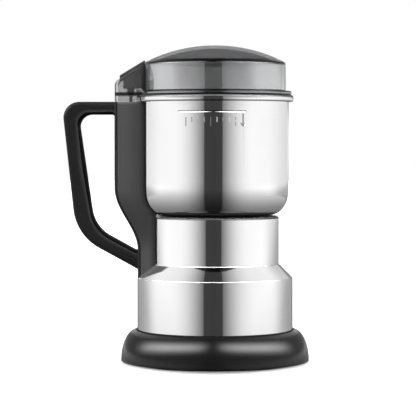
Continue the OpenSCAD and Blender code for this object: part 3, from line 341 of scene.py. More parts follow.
# %% The other plastics
gloss_black = plastic_finish("gloss_black", (0.015, 0.015, 0.016), 0.13, 0.17, 900, 0.03, Specular_IOR_Level=0.25)
satin_black = plastic_finish("satin_black", (0.028, 0.028, 0.029), 0.40, 0.50, 5200, 0.25)
for row in (("rubber_black", grey(0.022), 0.62, 0.78, 3000, 0.3),
            ("switch_black", (0.035, 0.035, 0.037), 0.38, 0.48, 2500, 0.2),
            ("white_nylon", (0.72, 0.72, 0.68), 0.42, 0.55, 1800, 0.15),
            ("fan_nylon", (0.10, 0.11, 0.12), 0.42, 0.55, 1800, 0.15),
            ("clear_silicone", (0.62, 0.62, 0.60), 0.35, 0.45, 1500, 0.1),
            ("carbon_grey", (0.03, 0.03, 0.032), 0.55, 0.7, 4000, 0.3)):
    plastic_finish(*row)
print("finishes so far:", len(bpy.data.materials))

# %% [markdown]
# ## Metals inside
# The motor is seen only with the bottom plate off. Castings are dull and slightly pitted, the stacks show their
# sheets as fine lines along Z, and the windings show their wires.

# %% Metals inside
def layered_finish(name, colour, roughness, pitch, depth, metallic=1.0):
    """Thin layers along Z: sheets of a stack or turns of a wire."""
    finish = Finish(name, colour, roughness, metallic=metallic)
    layers = finish.wire("TexWave", {"bands_direction": "Z"}, Vector=finish.place, Scale=1 / pitch / 20)
    finish.set(Base_Color=finish.colours(layers, [c * 0.6 for c in colour], colour))
    finish.set(Roughness=roughness + 0.1 * finish.noise(300))
    finish.bump(layers, 0.4, depth)
    return finish.material


plastic_finish("cast_alloy", (0.58, 0.58, 0.60), 0.42, 0.60, 1400, 0.35, 0.0001, metallic=0.9)
layered_finish("stack_iron", (0.26, 0.27, 0.29), 0.45, 0.0008, 0.0001)
layered_finish("copper_wire", (0.74, 0.30, 0.14), 0.32, 0.0011, 0.0002)
steel_finish("copper_bars", (0.80, 0.42, 0.26), 0.22, 0.34, 900)
steel_finish("brass_sheet", (0.78, 0.60, 0.28), 0.25, 0.38, 900)
print("with the metals inside:", len(bpy.data.materials))

# %% [markdown]
# ## Smoky plastic
# The lid is clear plastic with a grey tint. Alpha sets how much light passes, and a share of metallic sets how strong
# the mirror is. Where one looks along a wall instead of through it, clear plastic turns dark, and that darkness is
# painted: near black at the rounding under the dome, at the flange, at the lug's floor and nose, round the key's
# chimney and where the lug meets the band, with a painted highlight along the lug's roof rim. These are masks over
# x, y and z.

# %% Smoky plastic: painted shade at the edges
clear_grey = (0.74, 0.745, 0.755)
smoke = Finish("smoky_plastic", clear_grey, 0.05, metallic=0.97, Specular_IOR_Level=0.1)
px, py, pz = smoke.axes(smoke.place)
lug_part = 1 - px.step(-0.0478, -0.0468)
rounding = within(pz, 0.1980, 0.2008) * (1 - lug_part)
flange_edges = (within(pz, 0.1796, 0.1810, 0.0002) + within(pz, 0.1770, 0.1782, 0.0002)) * (1 - lug_part)
floor_edge = within(pz, 0.1773, 0.1795) * lug_part
chimney = within(px, -0.0586, -0.0535, 0.0001) * within(py, -0.0057, 0.0057, 0.0001)
chimney = chimney * within(pz, 0.1765, 0.1852, 0.0001)
# Painted shadow where the lug's wall meets the band.
painted_joint_shadow = 0.8 * px.step(-0.0484, -0.0480) * (1 - px.step(-0.0465, -0.0425)) * within(pz, 0.1800, 0.2012)
flange = within(pz, 0.1777, 0.18045, 0.0001) * (1 - lug_part)
roof_line = pz - px * 0.608 - 0.22663
# Painted highlight along the lug's roof rim.
painted_roof_highlight = within(roof_line, -0.0006, 0.0000, 0.0001) * lug_part
nose = (1 - px.step(-0.0628, -0.0622)) * pz.step(0.1838, 0.1844)
outer = (1 - px.step(-0.0653, -0.0649)).most(roof_line.step(-0.0036, -0.0030)).most(nose)
edge_on = smoke.wire("LayerWeight", out=1, Blend=0.5).step(0.72, 0.95) * lug_part * outer * (1 - painted_roof_highlight)
# Painted shade: all these edges turn near black and nearly opaque.
painted_dark_edges = rounding.most(flange_edges).most(floor_edge).most(chimney).most(painted_joint_shadow).most(edge_on)
print("masks of the lid:", len(smoke.tree.nodes), "nodes")

# %% Smoky plastic: colour and strength
haze = smoke.noise(60, 2)
body = smoke.colours(lug_part, clear_grey, (0.16, 0.16, 0.162))
# Painted highlight: a lighter line on the roof rim.
body = smoke.over(body, painted_roof_highlight, (0.24, 0.24, 0.25))
body = smoke.over(body, flange, (0.42, 0.42, 0.43))
stops_light = 0.53 + 0.02 * haze - 0.26 * lug_part + 0.27 * flange + 0.2 * painted_roof_highlight
# Painted shade: near black where the walls are seen edge-on.
smoke.set(Base_Color=smoke.over(body, painted_dark_edges, (0.008, 0.008, 0.009)), Metallic=0.97 - 0.67 * lug_part)
smoke.set(Alpha=stops_light.most(painted_dark_edges * 0.90), Roughness=0.04 + 0.02 * haze)
smoky_plastic = smoke.material
print("all finishes:", len(bpy.data.materials))

# %% [markdown]
# ## Turned shapes
# Base, drum, bowl and lid are all turned round the axis. Each starts as an outline in millimetres, radius and
# height, whose corners are rounded by an arc, as a turner would draw it.

# %% Outlines
def arc(centre, radius, start, end, steps=8):
    return [(centre[0] + radius * math.cos(math.radians(start + (end - start) * i / steps)),
             centre[1] + radius * math.sin(math.radians(start + (end - start) * i / steps))) for i in range(steps + 1)]


def rounded(corners, closed=True, steps=6):
    """Corners are (x, y, radius); a radius of 0 stays sharp."""
    outline = []
    count = len(corners)
    for i, (x, y, radius) in enumerate(corners):
        ends = not closed and i in (0, count - 1)
        if radius == 0 or ends:
            outline.append((x, y))
            continue
        here = Vector((x, y))
        back = (Vector(corners[i - 1][:2]) - here).normalized()
        ahead = (Vector(corners[(i + 1) % count][:2]) - here).normalized()
        half = back.angle(ahead) / 2
        centre = here + (back + ahead).normalized() * radius / math.sin(half)
        first = here + back * radius / math.tan(half) - centre
        last = here + ahead * radius / math.tan(half) - centre
        start = math.atan2(first.y, first.x)
        turn = (math.atan2(last.y, last.x) - start + math.pi) % (2 * math.pi) - math.pi
        outline += arc(centre, radius, math.degrees(start), math.degrees(start + turn), steps)
    return outline


def held(outline, margin=0.15):
    points = []
    for i, here in enumerate(outline):
        start, end = Vector(here), Vector(outline[(i + 1) % len(outline)])
        points.append(tuple(start))
        if (end - start).length > 2:
            step = (end - start).normalized() * margin
            points += [tuple(start + step), tuple(end - step)]
    return points


print("outline tools ready")

# %% [markdown]
# ## Skins
# An outline becomes a closed skin in three ways. A turned piece is spun round the axis, a flat one is drawn out along
# an axis, and one that changes along its way is a row of rings, which `bridge_loops` joins. `held` adds points near
# the ends of long straight stretches, because smooth shading would otherwise bend over them.

# %% Turned, drawn out and bridged skins
def turned(outline, steps=192):
    mesh = bmesh.new()
    ring = [mesh.verts.new((r, 0, z)) for r, z in held(outline)]
    edges = [mesh.edges.new((ring[i], ring[(i + 1) % len(ring)])) for i in range(len(ring))]
    bmesh.ops.spin(mesh, geom=ring + edges, cent=(0, 0, 0), axis=(0, 0, 1), angle=2 * math.pi, steps=steps,
                   use_merge=True)
    bmesh.ops.remove_doubles(mesh, verts=mesh.verts, dist=0.001)
    bmesh.ops.recalc_face_normals(mesh, faces=mesh.faces)
    return mesh


def prism(outline, low, high, along="y"):
    """A flat outline drawn out along an axis: (x, z) outlines along y, (x, y) outlines along z."""
    mesh = bmesh.new()
    point = (lambda u, v: (u, low, v)) if along == "y" else (lambda u, v: (u, v, low))
    face = mesh.faces.new([mesh.verts.new(point(u, v)) for u, v in outline])
    grown = bmesh.ops.extrude_face_region(mesh, geom=[face])["geom"]
    step = (0, high - low, 0) if along == "y" else (0, 0, high - low)
    bmesh.ops.translate(mesh, vec=step, verts=[g for g in grown if isinstance(g, bmesh.types.BMVert)])
    bmesh.ops.recalc_face_normals(mesh, faces=mesh.faces)
    return mesh


def skinned(rings, mesh=None):
    """Rings bridged into a closed skin, in a mesh of its own or added to another."""
    mesh = bmesh.new() if mesh is None else mesh
    loops = []
    for ring in rings:
        verts = [mesh.verts.new(p) for p in ring]
        loops.append([mesh.edges.new((verts[i], verts[(i + 1) % len(verts)])) for i in range(len(verts))])
    for first, second in zip(loops, loops[1:]):
        bmesh.ops.bridge_loops(mesh, edges=first + second)
    for end in (loops[0], loops[-1]):
        bmesh.ops.contextual_create(mesh, geom=end)
    bmesh.ops.recalc_face_normals(mesh, faces=mesh.faces)
    return mesh


print("skin tools ready")

# %% [markdown]
# ## Pieces
# `piece` turns a mesh in millimetres into an object in metres, gives it its finish, attaches it to the body that
# carries it and hides the solid of the CAD that it stands for. `combine` is for what a mould does with cores and
# inserts: it cuts pieces away or joins them on with the Boolean modifier, then merges the seams.

# %% Pieces and Booleans
def piece(name, mesh, material=None, body=None, replaces=(), sharp=30):
    bmesh.ops.scale(mesh, vec=(MM, MM, MM), verts=mesh.verts)
    data = bpy.data.meshes.new(name)
    mesh.to_mesh(data)
    mesh.free()
    data.shade_smooth()
    data.set_sharp_from_angle(angle=math.radians(sharp))
    shape = bpy.data.objects.new(name, data)
    bpy.context.scene.collection.objects.link(shape)
    if material:
        data.materials.append(material)
    if body:
        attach(shape, body)
        if replaces:
            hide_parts(*replaces)
    return shape


def combine(shape, *others, operation="DIFFERENCE", sharp=30, solver="EXACT"):
    for other in others:
        modifier = shape.modifiers.new("combine", "BOOLEAN")
        modifier.operation, modifier.solver, modifier.object = operation, solver, other
        bpy.context.view_layer.objects.active = shape
        bpy.ops.object.modifier_apply(modifier=modifier.name)
        bpy.data.objects.remove(other, do_unlink=True)
    mesh = bmesh.new()
    mesh.from_mesh(shape.data)
    bmesh.ops.remove_doubles(mesh, verts=mesh.verts, dist=1e-6)
    bmesh.ops.dissolve_degenerate(mesh, edges=mesh.edges, dist=1e-6)
    mesh.to_mesh(shape.data)
    mesh.free()
    shape.data.shade_smooth()
    shape.data.set_sharp_from_angle(angle=math.radians(sharp))
    return shape


def block(name, x, y, z):
    """A plain box from three (low, high) pairs, used as a cutter."""
    mesh = bmesh.new()
    bmesh.ops.create_cube(mesh, size=1)
    for vert in mesh.verts:
        vert.co = Vector([pair[0] + (pair[1] - pair[0]) * (c + 0.5) for pair, c in zip((x, y, z), vert.co)])
    return piece(name, mesh)


def rod(radius, low, high, place=(0, 0, 0), along="z", sides=48):
    """A round bar, used as a cutter, a boss or a peg."""
    mesh = bmesh.new()
    bmesh.ops.create_cone(mesh, cap_ends=True, segments=sides, radius1=radius, radius2=radius, depth=high - low,
                          matrix=Matrix.Translation((0, 0, (low + high) / 2)))
    quarter = math.radians(90)
    turn = {"z": Matrix(), "y": Matrix.Rotation(-quarter, 4, "X"), "x": Matrix.Rotation(quarter, 4, "Y")}
    bmesh.ops.transform(mesh, matrix=Matrix.Translation(place) @ turn[along], verts=mesh.verts)
    return mesh


print("shape tools ready")

# %% [markdown]
# ## The base
# A broad foot ring: nearly upright below, then a wide shoulder that rolls in to the steel. The drum stands in a
# groove behind a thin lip, and a collar inside holds it.

# %% Base
base_r, base_h, lip_r, spigot_r = 62.7, 21.7, 52.1, 50.7
roll_wide, roll_high = 10.1, 20.3
shoulder = [(lip_r + 0.5 + roll_wide * math.cos(a), 1.4 + roll_high * math.sin(a))
            for a in map(math.radians, range(3, 90, 3))]
base_outline = (
    [(base_r - 2.4, 0.6)] + arc((base_r - 0.8, 1.4), 0.8, -90, 0, 6) + shoulder
    + rounded([(lip_r + 0.6, base_h, 0), (lip_r, base_h, 0.3), (lip_r, 18.0, 0)], closed=False, steps=4)
    + [(spigot_r, 18.0), (spigot_r, 28.3), (spigot_r - 2, 28.3), (spigot_r - 2, 3.8), (spigot_r, 3.8),
       (spigot_r, 15.6), (base_r - 6.4, 15.6), (base_r - 4, 9.55)])
base = piece("base_shell", turned(base_outline, 256), gloss_black, "housing", ["base"])
print("turned base", len(base.data.polygons), "faces")

# %% [markdown]
# The back of the base holds the bush of the lead, in a round seat with a flat face. Inside stand three bosses for the
# screws of the bottom plate.

# %% Gland and bosses
gland_z, gland_r, boss_r, screw_ring = 10.1, 5.0, 3.6, 45.5
gland_place = (0, 0, gland_z)
combine(base, piece("gland_seat", rod(gland_r + 2, base_r - 5.2, base_r - 2.6, gland_place, "y")), operation="UNION")
combine(base, piece("gland_hole", rod(gland_r, 40, 70, gland_place, "y")),
        piece("gland_face", rod(gland_r + 1.5, base_r - 2.6, 70, gland_place, "y")))
bosses = [piece("boss", rod(boss_r, 4.1, 18.1, (screw_ring * math.cos(a), screw_ring * math.sin(a), 0)))
          for a in map(math.radians, (30, 150, 270))]
combine(base, *bosses, operation="UNION")
print("base", [round(d * 1000, 1) for d in base.dimensions])

# %% [markdown]
# ## The drum
# One drawn sheet: drum, shoulder at 45 degrees, neck, and a flat top turned inward. Its two folds are tight, and it
# is these small radii that catch the light as thin lines.

# %% Drum
drum_r, neck_r, sheet, neck_top = 51.8, 42.5, 0.8, 97.4
shoulder_low, shoulder_high = 56.3, 65.6
drum_outline = rounded([
    (drum_r, 18.02, 0), (drum_r, shoulder_low, 0.9), (neck_r, shoulder_high, 0.9), (neck_r, neck_top, 1.5),
    (9.3, neck_top, 0), (9.3, neck_top - sheet, 0), (neck_r - sheet, neck_top - sheet, 0.8),
    (neck_r - sheet, shoulder_high - 0.33, 0), (drum_r - sheet, shoulder_low - 0.33, 0), (drum_r - sheet, 18.02, 0),
], steps=7)
drum = piece("drum_shell", turned(drum_outline, 256), polished_steel, "housing", ["drum_housing"])
print("drum", [round(d * 1000, 1) for d in drum.dimensions])

# %% [markdown]
# ## The bowl
# Drawn from one sheet as well, with a large radius at the floor. The rim is rolled outward and down into a bead.

# %% Bowl
bowl_r, bowl_z, rim_top, rim_low, rim_r, bead = 49.0, 98.2, 177.7, 173.3, 52.2, 1.5
corner_centre, corner_r = (32.23, 112.8), 16.5
foot_centre, foot_r = (36.83, 108.2), 10.0
soft_centre, soft_r = (-77.9, 120.5), 126.9


def bowl_corner(grow):
    """The bowl's outline from the floor up to the wall, moved outward: three arcs that run into each other."""
    return (arc(foot_centre, foot_r + grow, -90, -46, 9) + arc(corner_centre, corner_r + grow, -45, -5, 12)
            + arc(soft_centre, soft_r + grow, -4, 0, 10))


bowl_outline = (
    [(9.2, bowl_z)] + bowl_corner(0) + [(bowl_r, rim_top - sheet)]
    + arc((rim_r - bead, rim_top - bead), bead - sheet, 90, 0, 6) + arc((rim_r - 1, rim_low + 1), 1 - sheet, 0, -90, 6)
    + [(bowl_r + 0.4, rim_low + sheet), (bowl_r + 0.4, rim_low)]
    + arc((rim_r - 1, rim_low + 1), 1, -90, 0, 10) + arc((rim_r - bead, rim_top - bead), bead, 0, 90, 10)
    + arc((bowl_r - sheet + 1, rim_top - 1), 1, 90, 180, 5) + bowl_corner(-sheet)[::-1] + [(9.2, bowl_z + sheet)])
bowl = piece("bowl_shell", turned(bowl_outline, 256), polished_steel, "housing", ["bowl"])
print("bowl", [round(d * 1000, 1) for d in bowl.dimensions])

# %% [markdown]
# ## The fill mark
# A line with an arrow and short ticks is pressed in to the front of the bowl. Each stroke is a thin rod that follows
# the round wall, a little outside it, so that cutting it away leaves a shallow groove.

# %% Fill mark
line_z, arrow_x, arrow_tip, tick_top = 166.4, 18.0, 156.6, 162.8


def stroke(mesh, start, end, radius=0.55, out=0.2):
    """A rod along the wall from one (x, z) to the next."""
    count = max(2, int((Vector(end) - Vector(start)).length / 1.2))
    places = []
    for i in range(count + 1):
        x, z = (start[k] + (end[k] - start[k]) * i / count for k in range(2))
        place = Vector((x, -math.sqrt(bowl_r ** 2 - x ** 2), z))
        places.append(place + Vector((place.x, place.y, 0)).normalized() * out)
    rings = []
    for i, place in enumerate(places):
        ahead = (places[min(i + 1, count)] - places[max(i - 1, 0)]).normalized()
        outward = Vector((place.x, place.y, 0)).normalized()
        across = ahead.cross(outward).normalized()
        rings.append([place + (outward * math.cos(a) + across * math.sin(a)) * radius
                      for a in map(math.radians, range(0, 360, 30))])
    skinned(rings, mesh)


marks = bmesh.new()
stroke(marks, (-24.0, line_z), (20.0, line_z), 0.7, 0.25)
stroke(marks, (arrow_x, 165.1), (arrow_x, arrow_tip))
for side_x in (arrow_x - 1.4, arrow_x + 1.4):
    stroke(marks, (side_x, 159.0), (arrow_x + (side_x - arrow_x) * 0.55, 157.2))
for i in range(9):
    tick_x = -19.0 + 4.0 * i
    stroke(marks, (tick_x, tick_top), (tick_x, 157.0 if i % 4 == 0 else 159.6), 0.45, 0.2)
combine(bowl, piece("marks", marks), solver="MANIFOLD")
print("marked bowl", len(bowl.data.polygons), "faces")

# %% [markdown]
# ## The handle's column
# The column hugs the bowl and the neck. Its back follows an S: out at the bowl, in at the neck. Every level is a
# ring with a flat back and cheeks that bow out, and the rings are bridged into one skin. The bowl, the neck and the
# shoulder are then cut out of it, a hair larger than they are.

# %% Column
spine_out, spine_low, bend_top, bend_low, spine_t = 66.5, 51.2, 116, 75, 2.0
half_back, half_front, foot_flare, cheek_deep = 11.5, 16.6, 2.9, 18
grip_top = rim_low - 0.1
foot_z = shoulder_low - 1


def spine(z):
    if z >= bend_top:
        return spine_out
    if z <= bend_low:
        return spine_low
    half = (spine_out - spine_low) / 2
    return spine_low + half + half * math.cos(math.pi * (bend_top - z) / (bend_top - bend_low))


def column_ring(z, inset, rim=0.0):
    """One level, moved inward by the inset; rim draws the topmost levels in to round the edge."""
    grow = foot_flare * min(1, max(0, (bend_top - z) / (bend_top - shoulder_low)))
    back = -(spine(z) - spine_t - inset) + rim
    near, far = half_back - inset - rim, half_front + grow - inset - rim
    cheek = [(back + cheek_deep * t, near + (far - near) * math.sin(math.pi / 2 * t))
             for t in [i / 12 for i in range(13)]]
    cheek.append((-30.5, far))
    return [(x, -y, z) for x, y in cheek] + [(x, y, z) for x, y in reversed(cheek)]


def levels(low, high, count):
    return [low + (high - low) * i / count for i in range(count + 1)]


def body_room(gap=0.3):
    """Bowl, neck, shoulder and drum in one, a gap larger than they are."""
    curve = [p for p in bowl_corner(gap) if p[0] > neck_r + gap + 0.2]
    outline = [(0, 30), (drum_r + gap, 30), (drum_r + gap, shoulder_low + 0.1), (neck_r + gap, shoulder_high + 0.1)]
    outline += [(neck_r + gap, curve[0][1])] + curve + [(bowl_r + gap, rim_top + 5), (0, rim_top + 5)]
    return piece("body_room", turned(outline, 128))


rings = [column_ring(z, 0) for z in levels(foot_z, grip_top - 0.6, 72)]
rings += [column_ring(grip_top - 0.6 + 0.6 * math.sin(a), 0, 0.6 * (1 - math.cos(a))) for a in (0.5, 1.0, 1.5708)]
column = piece("handle_column_shell", skinned(rings), column_black, "housing", ["handle_column"],
               sharp=35)
inner = piece("column_inner", skinned([column_ring(z, 2.2) for z in levels(foot_z - 2, grip_top - 2.1, 40)]))
stem_x = -(spine_out - 10.5)
combine(column, inner, body_room(), block("stem_slot", (stem_x - 1.4, stem_x + 1.4), (-4.5, 4.5), (170, 175)),
        piece("grip_screw_hole", rod(1.4, -68, -58, (0, 0, grip_top - 5.2), "x")), sharp=35)
column.visible_glossy = False
print("column", len(column.data.polygons), "faces")

# %% [markdown]
# ## The grip
# A loop of one moulding with the strip along the column's spine. Its outer and inner outlines run side by side, and
# at each pair of points stands a ring with well rounded edges.

# %% Grip
grip_w, edge_r, arm_t = 22.0, 2.4, 8.4
slope = math.radians(28.8)
run = Vector((math.cos(slope), -math.sin(slope)))
low_out, low_in = Vector((-92.1, 84.7)), Vector((-80.3, 89.7))
strip_x = -spine_low + spine_t / 2


def arm_end(p):
    return tuple(p + run * ((strip_x - p.x) / run.x))


outer_path = rounded([(-65.5, grip_top, 0), (-101.6, grip_top, 10.5), (*low_out, 33), (*arm_end(low_out), 0)],
                     closed=False, steps=16)
inner_path = rounded([(-65.5, grip_top - arm_t, 0), (-91.1, grip_top - arm_t, 8), (*low_in, 24),
                      (*arm_end(low_in), 0)], closed=False, steps=16)


def between(path, i, share):
    (x0, z0), (x1, z1) = path[i], path[i + 1]
    return x0 + (x1 - x0) * share, z0 + (z1 - z0) * share


def arm_pairs(i, rows):
    """Outer and inner points along one arm; flares widen it where it meets the column."""
    inside = [between(inner_path, i, share) for share, _ in rows]
    return [(between(outer_path, i, share), (x, z + flare)) for (share, flare), (x, z) in zip(rows, inside)]


def grip_ring(outer, inner):
    """One section of the loop: a box with rounded edges, square to the loop's way."""
    p, q = Vector(outer), Vector(inner)
    middle, across = (p + q) / 2, (q - p).normalized()
    half, width = (q - p).length / 2, grip_w / 2
    ring = []
    for sign_a, sign_b, start in ((1, 1, 0), (-1, 1, 90), (-1, -1, 180), (1, -1, 270)):
        for s, t in arc((sign_a * (half - edge_r), sign_b * (width - edge_r)), edge_r, start, start + 90, 6):
            ring.append((middle.x + across.x * s, t, middle.y + across.y * s))
    return ring


def strip_ring(z, rim=0.0):
    """One level of the strip along the column's spine, with its two outer edges rounded."""
    x, half, r = -spine(z) + rim, half_back - rim, 0.9
    edge = arc((x + r, half - r), r, 180, 90, 5)
    front = x + spine_t - rim
    return ([(a, b, z) for a, b in edge] + [(front, half, z), (front, -half, z)]
            + [(a, -b, z) for a, b in reversed(edge)])


pairs = arm_pairs(0, ((0, -2.6), (0.05, -1.3), (0.09, -0.6), (0.13, -0.2), (0.18, 0)))
pairs += list(zip(outer_path[1:-1], inner_path[1:-1]))
pairs += arm_pairs(len(inner_path) - 2, ((0.84, 0), (0.89, 0.2), (0.93, 0.6), (0.965, 1.4), (1.0, 2.8)))
grip = piece("grip_loop", skinned([grip_ring(p, q) for p, q in pairs]), grip_black, "housing",
             ["handle_grip"], sharp=40)
strip_rings = [strip_ring(z) for z in levels(foot_z + 1.2, grip_top - 0.5, 72)] + [strip_ring(grip_top, 0.4)]
strip = piece("grip_strip", skinned(strip_rings))
combine(grip, strip, operation="UNION", sharp=40)
combine(grip, body_room(), sharp=40)
grip.visible_glossy = False
print("grip", len(grip.data.polygons), "faces")

# %% [markdown]
# ## The lid
# A shallow dome, an upright band, a flange that lies on the bowl's rim and a lip that drops in to the bowl, all one
# thin wall. Such a shape is turned, with the dome's two faces as arcs round one centre.

# %% Lid
lid_r, lid_z, lid_top, wall = 47.1, rim_top + 0.05, rim_top + 33.05, 2.2
dome_r, dome_edge = 103.0, 2.8
flange_r, flange_t, lip_out = lid_r + 3.8, 2.7, 46.6
edge_r_out = lid_r - dome_edge
edge_angle = math.degrees(math.asin(edge_r_out / (dome_r - dome_edge)))
edge_centre = (edge_r_out, lid_top - dome_r + math.sqrt((dome_r - dome_edge) ** 2 - edge_r_out ** 2))


def dome(radius, reverse=False):
    points = arc((0, lid_top - dome_r), radius, 90, 90 - edge_angle, 24)[:-1]
    return points[::-1] if reverse else points


lid_outline = (
    dome(dome_r) + arc(edge_centre, dome_edge, 90 - edge_angle, 0, 10)
    + rounded([(lid_r, lid_z + 8, 0), (lid_r, lid_z + flange_t, 0.5), (flange_r, lid_z + flange_t, 0.9),
               (flange_r, lid_z, 0.9), (lip_out, lid_z, 0), (lip_out, lid_z - 6, 0.8), (lid_r - wall, lid_z - 6, 0.4),
               (lid_r - wall, lid_z + 4, 0)], closed=False, steps=6)
    + arc(edge_centre, dome_edge - wall, 0, 90 - edge_angle, 6) + dome(dome_r - wall, reverse=True))
lid = piece("lid_cover", turned(lid_outline, 256), smoky_plastic, "lid", ["lid"])
print("turned lid", [round(d * 1000, 1) for d in lid.dimensions])

# %% [markdown]
# ## The lug over the handle
# In plan the lug follows the column, and from the side its roof slopes up to the dome. A mould makes it in one piece
# with the lid. Here it is a solid, hollowed from below and open above for the key, with a chimney that guides the
# key's stem and a peg for the key's spring.

# %% Lug measures
lug_x, lug_z, lug_wall = -(spine_out - 0.2), grip_top + 0.3, 2.0
floor_z, floor_t = rim_top - 0.3, 1.9
roof_x, roof_z, roof_slope = -(lid_r + 0.4), lid_z + 20.0, math.tan(math.radians(31.3))
key_x0, key_x1, key_w, key_gap, key_stand = -(spine_out - 3.4), -(lid_r - 1), 18.0, 0.4, 2.4
chimney_top, peg_x = floor_z + 7.5, -(lid_r + 3.6)


def roof_at(x):
    return roof_z + (x - roof_x) * roof_slope


def lug_plan(inset):
    """The lug from above, moved inward by the inset."""
    cheek = [(lug_x + inset + cheek_deep * t, half_back - inset + 3.5 * math.sin(math.pi / 2 * t))
             for t in [i / 10 for i in range(11)]]
    cheek.append((-lid_r + 8, 15 - inset))
    return [(x, -y) for x, y in cheek] + [(x, y) for x, y in reversed(cheek)]


def under_roof(drop, name):
    """Everything below the roof's line, which is lowered by the drop."""
    nose_line = rounded([(lug_x - 0.01, lug_z - 2, 0), (lug_x - 0.01, roof_at(lug_x) - drop, 4),
                         (roof_x, roof_z - drop, 0), (roof_x + 20, roof_z - drop, 0), (roof_x + 20, lug_z - 2, 0)])
    return piece(name, prism(nose_line, -50, 50))


def tall(inset, low, high, name):
    """The lug's plan, drawn up between two heights."""
    return piece(name, prism(lug_plan(inset), low, high, "z"))


print("lug from", round(lug_x, 1), "with a floor at", round(floor_z, 1))

# %% Lug
lug = combine(tall(0, lug_z, lid_top, "lug"), under_roof(0, "roof"), operation="INTERSECT")
room_under = combine(tall(lug_wall, floor_z + floor_t, lid_top + 5, "room"), under_roof(lug_wall, "room_roof"),
                     operation="INTERSECT")
key_way = block("key_way", (key_x0 - key_gap, 3 - lid_r), (-key_w / 2 - key_gap, key_w / 2 + key_gap),
                (roof_at(key_x0) - 8, 230))
combine(lug, room_under, tall(lug_wall, lug_z - 2, floor_z, "skirt_room"),
        piece("band_room", rod(lid_r - 0.5, 100, 250, sides=256)),
        piece("rim_room", rod(rim_r + 0.3, 100, lid_z, sides=256)), key_way)
flange_room = tall(lug_wall, floor_z + floor_t, lid_z + flange_t + 2, "flange_room")
combine(lid, combine(flange_room, piece("band", rod(lid_r, 100, 250, sides=256))))
combine(lug, block("chimney", (stem_x - 2.3, stem_x + 2.3), (-5.4, 5.4), (floor_z, chimney_top)),
        piece("spring_peg", rod(1.2, floor_z + 0.5, floor_z + 4.5, (peg_x, 0, 0))), operation="UNION")
combine(lug, block("stem_way", (stem_x - 1.3, stem_x + 1.3), (-4.4, 4.4), (lug_z - 1, chimney_top + 1)))
combine(lid, lug, operation="UNION")
print("lid", len(lid.data.polygons), "faces")

# %% [markdown]
# ## The key
# A sloping plate stands a little above the lug's roof. Its edges are bevelled, as the thumb lies on them.

# %% Key
plate = rounded([(key_x0, roof_at(key_x0) - 1.6, 0), (key_x1, roof_at(key_x1) - 1.6, 0),
                 (key_x1, roof_at(key_x1) + key_stand, 0.4), (key_x0, roof_at(key_x0) + key_stand, 0.8)], steps=5)
key = piece("key_body", prism(plate, -key_w / 2, key_w / 2), satin_black, "press_key", ["press_key"])
soften = key.modifiers.new("soften", "BEVEL")
soften.width, soften.segments, soften.limit_method = 0.3 * MM, 3, "ANGLE"
bpy.context.view_layer.objects.active = key
bpy.ops.object.modifier_apply(modifier=soften.name)
print("plate", len(key.data.polygons), "faces")

# %% [markdown]
# Under the plate a block rests on the spring, two cheeks run beside the chimney, and the stem goes down through it to
# the switch's rod. A barb on the stem keeps the key in the lid.

# %% Block, cheeks and stem
key_foot, key_low, key_step, cheek_z = chimney_top + 3.1, floor_z + floor_t + 2.8, stem_x + 2.6, floor_z + floor_t + 2.9
stem_low, barb_z, stem_half = grip_top - 5, floor_z - 0.15, 0.9
block_x, cheek_x0, cheek_x1, cheek_step = stem_x - 2.4, stem_x - 4.8, stem_x + 1.4, floor_z + 7.9
under = piece("key_block", prism([(block_x, key_foot), (key_step, key_foot), (key_step, key_low), (key_x1, key_low),
                                  (key_x1, roof_at(key_x1) - 1), (block_x, roof_at(block_x) - 1)], -8, 8))
key_cheek = [(cheek_x0, cheek_z), (cheek_x1, cheek_z), (cheek_x1, cheek_step), (key_step + 0.5, cheek_step),
             (key_step + 0.5, roof_at(cheek_x1) - 1), (cheek_x0, roof_at(cheek_x0) - 1)]
combine(key, under, piece("near_cheek", prism(key_cheek, -8, -5.8)), piece("far_cheek", prism(key_cheek, 5.8, 8)),
        block("stem", (stem_x - stem_half, stem_x + stem_half), (-4, 4), (stem_low, roof_at(stem_x))),
        block("barb", (stem_x - stem_half, stem_x + stem_half), (-4.8, 4.8), (barb_z - 1.5, barb_z)),
        operation="UNION")
combine(key, piece("spring_seat", rod(2.3, key_low - 1, floor_z + 9.5, (peg_x, 0, 0))),
        piece("band_room", rod(lid_r + 0.3, 100, 250, sides=256)))
key.visible_glossy = False
print("key", len(key.data.polygons), "faces")

# %% [markdown]
# ## The two springs under the key
# One spring lifts the key, the other the rod of the switch. Both stand on a fixed seat and shorten by the key's
# travel. Each is a copy of the CAD's coil, carried by the body of its seat.

# %% Springs
for name, ground in (("key_spring", "lid"), ("plunger_spring", "housing")):
    coil = bmesh.new()
    coil.from_mesh(nodes[name].data)
    bmesh.ops.remove_doubles(coil, verts=coil.verts, dist=1e-7)
    bmesh.ops.scale(coil, vec=(1 / MM, 1 / MM, 1 / MM), verts=coil.verts)
    spring = piece(name + "_coil", coil, zinc_steel, ground, [name])
    spring.visible_glossy = False
    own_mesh(spring)

# %% [markdown]
# ## Inner pieces
# Motor, blades, bearings, switch, screws and rubber rings stay as the CAD made them, since their shapes are right. A
# table from finish to names is the shortest way to dress them. The switch and its neighbours are hidden in the
# handle, so mirrors needn't look for them.

